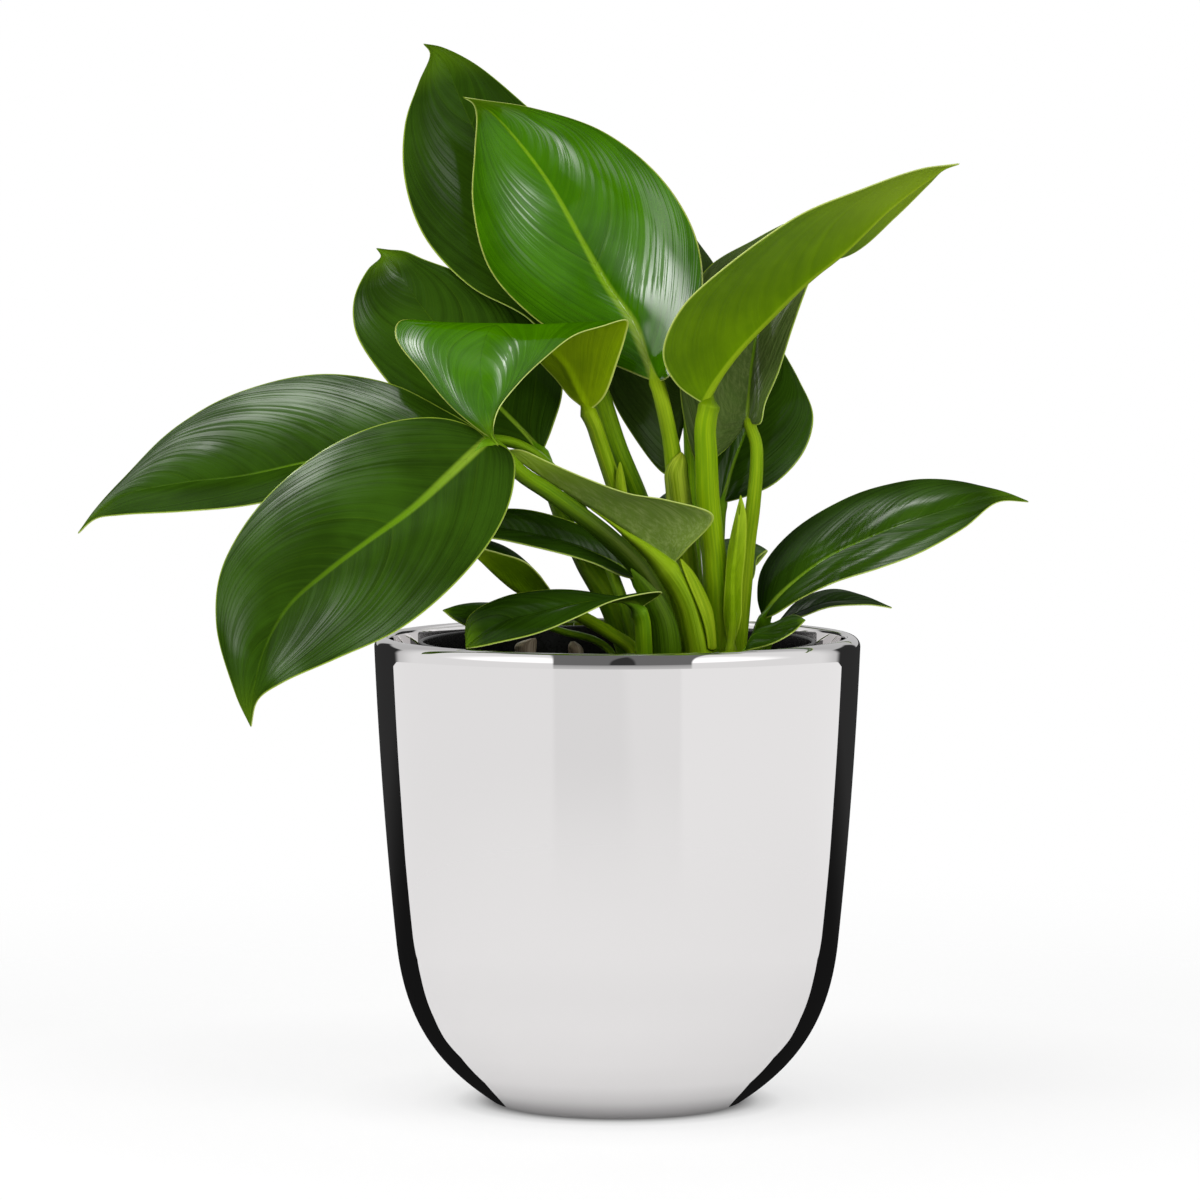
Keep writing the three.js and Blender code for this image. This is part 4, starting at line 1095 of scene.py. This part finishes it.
build_scale("green_sheath", "green", [
    [(10.4, -24.6, 134), (14.6, -25.6, 134), (18.8, -22.4, 134)],
    [(10.2, -25, 140), (14.6, -26.2, 140), (18.7, -23, 140)],
    [(9.4, -25.4, 147), (13.6, -26.8, 147), (17.3, -24.2, 147)],
    [(7, -26, 154), (10.4, -27.4, 154), (13.7, -25.8, 154)],
    [(5, -26.8, 159.5), (6.6, -27.6, 159.5), (8.4, -27, 159.5)],
    [(3.8, -27.4, 163), (3.9, -27.5, 163.1), (4, -27.4, 163)],
])
build_scale("small_sheath", "pale", [
    [(0.6, -2.8, 176), (2.4, -3.4, 176), (4.2, -1.4, 176)],
    [(-0.2, -3.6, 183), (1.4, -4.2, 183), (3, -2.4, 183)],
    [(-0.4, -4, 189), (0.8, -4.4, 189), (2, -3.2, 189)],
    [(0.7, -4.2, 193.4), (0.8, -4.3, 193.5), (0.9, -4.2, 193.4)],
])
build_scale("dry_scrap_left", "dry", [
    [(-27, -13, 127), (-25.5, -14.5, 127), (-24, -13, 127)],
    [(-29.4, -14, 134), (-27, -16, 134), (-24.6, -14, 134)],
    [(-30.4, -15, 139), (-27.4, -17, 139.6), (-24.2, -15, 140.4)],
    [(-25.6, -16, 141.2), (-25, -16.4, 141.4), (-24.4, -16, 141.4)],
])
build_scale("dry_scrap_middle", "dry", [
    [(-12, -14, 127), (-10.6, -15.4, 127), (-9.4, -14, 127)],
    [(-13.6, -15, 134), (-11.8, -16.6, 134), (-10, -15, 134)],
    [(-14.6, -15.4, 138.6), (-12.6, -17, 138.8), (-10.6, -15.4, 138.4)],
    [(-13.8, -15.6, 140.4), (-13.4, -15.9, 140.5), (-13, -15.6, 140.3)],
])


# Pots and soil

def bowed(points, steps):
    """Points on the curve from the first point to the last, drawn by the two handles between them."""
    a, b, c, d = (np.array(p, float) for p in points)
    t = np.linspace(0, 1, steps + 1)[:, None]
    curve = a * (1 - t) ** 3 + 3 * b * t * (1 - t) ** 2 + 3 * c * t ** 2 * (1 - t) + d * t ** 3
    return curve.tolist()


def arc(centre, radius, first, last, steps):
    """Points on a round corner, from one angle to another in degrees."""
    angles = np.radians(np.linspace(first, last, steps + 1))
    return [(centre[0] + radius * math.cos(a), centre[1] + radius * math.sin(a)) for a in angles]


def turned(profile, segments):
    """Vertices and faces of a body of revolution, from a profile that starts and ends on the axis."""
    angle = np.arange(segments) * 2 * np.pi / segments
    radius, height = np.array(profile, float).T[..., None]
    rings = np.stack([radius * np.cos(angle), radius * np.sin(angle), height + 0 * angle], axis=-1)
    return skin(rings, [0] * segments, True)[:2]


def planter_look():
    look = material("mirror_silver")
    return look.surface({"Base Color": colour("e1dfdf"), "Metallic": 1, "Roughness": 0, "IOR": 1.45})


def black_plastic_look():
    look = material("black_plastic")
    grain = look.noise(look.place(), 900, 2)
    return look.surface({
        "Base Color": look.mix(look.noise(look.place(), 30, 2), colour("0b0b0b"), colour("151515")),
        "Roughness": 0.22 + grain * 0.12,
        "IOR": 1.45,
        "Specular IOR Level": 0.12,
        "Normal": look.bump(grain, 0.00003),
    })


def soil_look():
    look = material("potting_mix")
    place = look.place()
    grain = look.noise(place, 260, 5, 0.7)
    clumps = look.noise(place, 60, 3)
    face = look.mix(look.step(grain, 0.35, 0.7), colour("1c130c"), colour("4a3524"))
    face = look.mix(look.step(clumps, 0.55, 0.75) * 0.5, face, colour("241a12"))
    return look.surface({
        "Base Color": face,
        "Roughness": 0.95,
        "Normal": look.bump(grain, 0.0012),
    })


def grainy_look(name, deep, bright, scale, roughness, depth):
    """Wood, bark or perlite: two colours and a relief from one noise."""
    look = material(name)
    grain = look.noise(look.place(), scale, 4, 0.6)
    return look.surface({
        "Base Color": look.mix(grain, colour(deep), colour(bright)),
        "Roughness": roughness,
        "Normal": look.bump(grain, depth),
    })


def build_planter():
    """The planter's outside, its rounded lip and its inside, in one turned profile."""
    lip_low = PLANTER_HEIGHT - LIP_OUTER_ROUND
    inner_low = PLANTER_HEIGHT - LIP_INNER_ROUND
    inner_edge = PLANTER_RADIUS - PLANTER_WALL
    belly = (BELLY_RADIUS, BELLY_HEIGHT)
    inner_belly = (BELLY_RADIUS - PLANTER_WALL, BELLY_HEIGHT)
    profile = [
        (0, 0),
        *bowed([(FOOT_RADIUS, 0), *BELOW_BELLY, belly], steps=60),
        *bowed([belly, *ABOVE_BELLY, (PLANTER_RADIUS, lip_low)], steps=40)[1:-1],
        *arc((PLANTER_RADIUS - LIP_OUTER_ROUND, lip_low), LIP_OUTER_ROUND, 0, 90, steps=16),
        *arc((inner_edge + LIP_INNER_ROUND, inner_low), LIP_INNER_ROUND, 90, 180, steps=10),
        *bowed([inner_belly, *INSIDE, (INNER_FLOOR_RADIUS, PLANTER_FLOOR)], steps=24),
        (0, PLANTER_FLOOR),
    ]
    shape = turned(profile, segments=256)
    plain_piece("planter_shell", "planter", shape, planter_look(), sharp=25)


def pot_inner_at(height):
    """The radius inside the nursery pot's tapered wall, at a height."""
    taper = (POT_RIM_RADIUS - POT_STEP - POT_BASE_RADIUS) / (POT_BAND_FOOT - POT_BASE)
    return POT_BASE_RADIUS - POT_WALL + taper * (height - POT_BASE)


def build_pot():
    """The nursery pot: a flat base, a tapered wall and a wider band up to a rounded rim."""
    half_wall = POT_WALL / 2
    profile = [
        (0, POT_BASE),
        (POT_BASE_RADIUS - 1, POT_BASE),
        (POT_BASE_RADIUS, POT_BASE + 1),
        (POT_RIM_RADIUS - POT_STEP, POT_BAND_FOOT),
        (POT_RIM_RADIUS - 0.4, POT_BAND_FOOT + 1),
        *arc((POT_RIM_RADIUS - half_wall, POT_TOP - half_wall), half_wall, 0, 180, steps=10),
        (POT_RIM_RADIUS - POT_WALL - 0.4, POT_BAND_FOOT + 2),
        (pot_inner_at(POT_BAND_FOOT), POT_BAND_FOOT + 1),
        (POT_BASE_RADIUS - POT_WALL, POT_BASE + POT_WALL),
        (0, POT_BASE + POT_WALL),
    ]
    shape = turned(profile, segments=160)
    plain_piece("nursery_pot_shell", "nursery_pot", shape, black_plastic_look(), sharp=35)


def build_soil():
    """Potting mix with a lumpy top, down to the pot's floor."""
    edge = pot_inner_at(POT_BAND_FOOT) - SOIL_GAP
    profile = [(0, SOIL_TOP)]
    profile += [(r, SOIL_TOP - SOIL_FALL * (r / edge) ** 2) for r in np.linspace(1.2, edge, 44)]
    profile += [(edge, POT_BAND_FOOT - 2), (pot_inner_at(SOIL_BOTTOM) - SOIL_GAP, SOIL_BOTTOM)]
    profile += [(0, SOIL_BOTTOM)]
    points, faces = turned(profile, segments=160)
    top = points[:, 2] > POT_BAND_FOOT + 1
    lumps = waves(points, 9, 5) + 0.7 * waves(points, 4, 6) + 0.5 * waves(points, 2.2, 7)
    points[top, 2] += np.minimum(0, lumps[top] * 1.4 - 0.9)
    plain_piece("soil_bed", "soil", (points, [face[::-1] for face in faces]), soil_look())


def build_chips(name, count, longest, look, seed):
    """Angular chips strewn over the potting mix. The longest are this many millimetres long."""
    draw = np.random.default_rng(seed)
    corners = np.array([(x, y, z) for x in (-1, 1) for y in (-1, 1) for z in (-1, 1)], float)
    sides = [(0, 1, 3, 2), (4, 6, 7, 5), (0, 4, 5, 1), (2, 3, 7, 6), (0, 2, 6, 4), (1, 5, 7, 3)]
    edge = pot_inner_at(POT_BAND_FOOT) - longest
    vertices, faces = [], []
    for _ in range(count):
        length = longest * draw.uniform(0.35, 1)
        size = length * np.array([0.5, draw.uniform(0.2, 0.4), draw.uniform(0.1, 0.2)])
        chip = corners * size * draw.uniform(0.7, 1.1, (8, 3))
        turn, tilt = draw.uniform(0, 2 * np.pi), draw.uniform(-0.4, 0.4)
        chip = chip @ np.array([(1, 0, 0), (0, np.cos(tilt), np.sin(tilt)), (0, -np.sin(tilt), np.cos(tilt))])
        chip = chip @ np.array([(np.cos(turn), np.sin(turn), 0), (-np.sin(turn), np.cos(turn), 0), (0, 0, 1)])
        angle, out = draw.uniform(0, 2 * np.pi), edge * math.sqrt(draw.uniform(0.02, 1))
        height = SOIL_TOP - CHIP_SINK - SOIL_FALL * (out / edge) ** 2
        start = len(vertices)
        vertices += (chip + (out * math.cos(angle), out * math.sin(angle), height)).tolist()
        faces += [tuple(start + k for k in side) for side in sides]
    plain_piece(name, None, (vertices, faces), look, sharp=25)


build_planter()
build_pot()
build_soil()
bark = grainy_look("bark", "2a1a10", "5e4430", 500, 0.9, 0.0004)
build_chips("bark_chips", count=190, longest=8, look=bark, seed=21)
perlite = grainy_look("perlite_white", "b8b4a8", "dedad0", 500, 0.9, 0.0004)
build_chips("perlite", count=60, longest=3.4, look=perlite, seed=22)
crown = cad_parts["crown"]
crown.data.materials.clear()
crown.data.materials.append(grainy_look("woody_crown", "4a3a20", "83683a", 140, 0.8, 0.0006))


# Studio

CAMERA_PLACE = (-0.0052, -1.8, 0.28)
CAMERA_DIP = 4.08
CAMERA_LENS = 180
LIGHT_TARGET = (0, 0, 0.15)
MATT_FILL = 0.28
# How light the floor's glow is round the planter, a painted shadow: (distance from its axis in millimetres,
# level).
SHADOW = [(37, 0.12), (40, 0.34), (43, 0.58), (50, 0.82), (62, 0.89), (90, 0.93), (130, 0.94), (220, 0.99)]
SHADOW_REACH = 300
# The black flag lies behind the planter and stands up at its far end: (half width, how far back),
# in millimetres.
FLAG_EDGE = [
    (45, -18), (62, -11), (78, 2), (99, 15), (161, 61),
    (210, 101), (245, 145), (370, 268), (490, 375), (775, 640),
]
FLAG_LIFT = 0.6
FLAG_TOP = 160
# Soft windows that the leaves mirror: (turn from the viewer, height, half width), in degrees, and strength.
WINDOWS = [
    (-44, -10, 14, 4), (-74, 28, 18, 3.5), (20, 20, 10, 3), (-36, 48, 14, 2.5), (-80, 68, 20, 1.5),
    (-122, 50, 20, 4), (-45, 16, 16, 4.2), (49, 16, 18, 3.8), (-70, 69, 12, 3.5),
]
WINDOW_EDGE = 8


def add_light(name, place, size, energy):
    """A softbox that lights the object and doesn't show in its gloss: the world has the gloss's windows."""
    light = bpy.data.lights.new(name, "AREA")
    light.shape = "RECTANGLE"
    light.size, light.size_y = size
    light.energy = energy
    made = bpy.data.objects.new(name, light)
    made.location = place
    made.rotation_euler = (Vector(LIGHT_TARGET) - Vector(place)).to_track_quat("-Z", "Y").to_euler()
    made.visible_camera = False
    made.visible_glossy = False
    bpy.context.scene.collection.objects.link(made)


def stage_piece(name, vertices, faces, look, mirror_only=False):
    """A piece of the studio. What is mirror_only shows in the object's gloss and nowhere else."""
    mesh = bpy.data.meshes.new(name)
    mesh.from_pydata((np.asarray(vertices) * MM).tolist(), [], faces)
    mesh.materials.append(look)
    made = bpy.data.objects.new(name, mesh)
    bpy.context.scene.collection.objects.link(made)
    if mirror_only:
        for ray in ("camera", "diffuse", "shadow", "transmission"):
            setattr(made, "visible_" + ray, False)


def disc(radius, height):
    """A round sheet on the planter's axis, facing up."""
    vertices, faces = turned([(0, height), (radius, height), (0, height)], 96)
    return vertices, [face for face in faces if 0 in face]


def floor_look():
    """White, mostly its own glow, darker in a painted soft shadow at the planter's foot, and clear far out."""
    look = material("pale_floor")
    distance = look.node("ShaderNodeVectorMath", {"operation": "LENGTH"}, {0: look.place()}, 1)
    stops = [(radius / SHADOW_REACH, (level, level, level, 1)) for radius, level in SHADOW]
    glow = look.node("ShaderNodeValToRGB", {"stops": stops}, {0: distance * (1 / (SHADOW_REACH * MM))})
    paint = look.node("ShaderNodeBsdfPrincipled", None, {
        "Base Color": (0.22, 0.22, 0.22, 1),
        "Roughness": 1,
        "Specular IOR Level": 0,
        "Emission Color": glow,
        "Emission Strength": 0.84,
    })
    clear = look.node("ShaderNodeBsdfTransparent")
    far = look.step(distance, 0.22, 0.6)
    return look.finished(look.node("ShaderNodeMixShader", None, {0: far, 1: paint, 2: clear}))


def table_look():
    """The white table as the planter mirrors it: dimmer straight ahead, brighter on the right."""
    look = material("white_table")
    across, ahead = (look.part(look.place(), k) for k in (0, 1))
    strip = look.step(abs(across) + ahead * 0.55, 0.02, -0.02)
    return look.glow(0.97 - strip * 0.07 + look.step(across, 0, 0.1) * 0.05)


def flag_look():
    """Black cloth, a little lighter far back."""
    look = material("black_cloth")
    return look.glow(0.009 + look.step(look.part(look.place(), 1), 0.2, 0.7) * 0.022)


def build_flag():
    """A black sheet that only the object's gloss sees. It darkens the planter's two sides."""
    rows = [(half, back, FLAG_LIFT) for half, back in FLAG_EDGE]
    rows.append((*FLAG_EDGE[-1], FLAG_TOP))
    vertices = [(side * half, back, height) for half, back, height in rows for side in (-1, 1)]
    faces = [(2 * i, 2 * i + 1, 2 * i + 3, 2 * i + 2) for i in range(len(rows) - 1)]
    stage_piece("black_flag", vertices, faces, flag_look(), mirror_only=True)


def tent(look, way):
    """What the mirror planter shows: white sides with a brighter top, and a dark front with a darker lens."""
    across = abs(look.part(way, 0) - 0.04)
    back = look.part(way, 1)
    height = look.part(way, 2)
    sides = look.step(across + back * 0.257, 0.31, 0.33).at_least(look.step(back, 0.6, 0.7))
    screen = look.step(across, 0.34, 0.4) * look.step(back, 0.58, 0.66) * look.step(height, 0.36, 0.3)
    lens = look.step(across + back * 0.1, 0.02, -0.01) * look.step(height, -0.02, 0.02) * 0.13
    above = look.step(height, 0.12, 0.3) * look.step(across, 0.3, 0.5) * look.step(back, 0.1, -0.3)
    front = 0.17 - lens + look.step(height, -0.02, -0.14) * 0.49
    white = 0.92 - look.step(back, 0.35, 0.7) * 0.36 + above * 0.5
    return (sides * white + (1 - sides) * front) * (1 - screen) + screen * 0.03


def room(look, way):
    """What the leaves' softer gloss shows: a dim room, lighter above, with the soft windows."""
    light = 0.1 + look.step(look.part(way, 2), -0.1, 0.4) * 0.8
    for turn, lift, half, strength in WINDOWS:
        turn, lift = math.radians(turn), math.radians(lift)
        aim = (math.sin(turn) * math.cos(lift), -math.cos(turn) * math.cos(lift), math.sin(lift))
        near = look.node("ShaderNodeVectorMath", {"operation": "DOT_PRODUCT"}, {0: way, 1: aim}, 1)
        edges = [math.cos(math.radians(half + side * WINDOW_EDGE)) for side in (1, -1)]
        light = light + look.step(near, *edges) * strength
    return light


def build_world():
    """White to the camera and an even fill for matt surfaces, with the tent and the room for gloss."""
    world = bpy.data.worlds.new("studio")
    bpy.context.scene.world = world
    world.cycles.sampling_method = "NONE"
    look = Look(world)
    seen, glossy, sharp = (look.node("ShaderNodeLightPath", output=k) for k in (0, 3, 4))
    way = look.node("ShaderNodeTexCoord", output=0)
    mirrored = sharp * tent(look, way) + (1 - sharp) * room(look, way)
    strength = seen + (1 - seen) * (glossy * mirrored + (1 - glossy) * MATT_FILL)
    sky = look.node("ShaderNodeBackground", None, {"Color": (1, 1, 1, 1), "Strength": strength})
    look.node("ShaderNodeOutputWorld", None, {"Surface": sky})


def build_camera():
    """The photo's view: a long lens from the front, a little above the planter's rim."""
    lens = bpy.data.cameras.new("camera")
    lens.lens = CAMERA_LENS
    lens.sensor_width = 36
    lens.clip_end = 20
    camera = bpy.data.objects.new("camera", lens)
    camera.location = CAMERA_PLACE
    camera.rotation_euler = (math.radians(90 - CAMERA_DIP), 0, 0)
    bpy.context.scene.collection.objects.link(camera)
    bpy.context.scene.camera = camera


stage_piece("floor", *disc(900, -0.1), floor_look())
stage_piece("white_table", *disc(1200, -2), table_look(), mirror_only=True)
build_flag()
build_world()
build_camera()
add_light("left_softbox", place=(-1.06, -1.06, 0.62), size=(0.75, 1.2), energy=11.9)
add_light("right_softbox", place=(1.13, -0.98, 0.62), size=(0.9, 1.2), energy=12.9)
add_light("top_softbox", place=(-0.47, -0.17, 1.45), size=(0.6, 0.6), energy=4)
bpy.context.scene.view_settings.view_transform = "Standard"
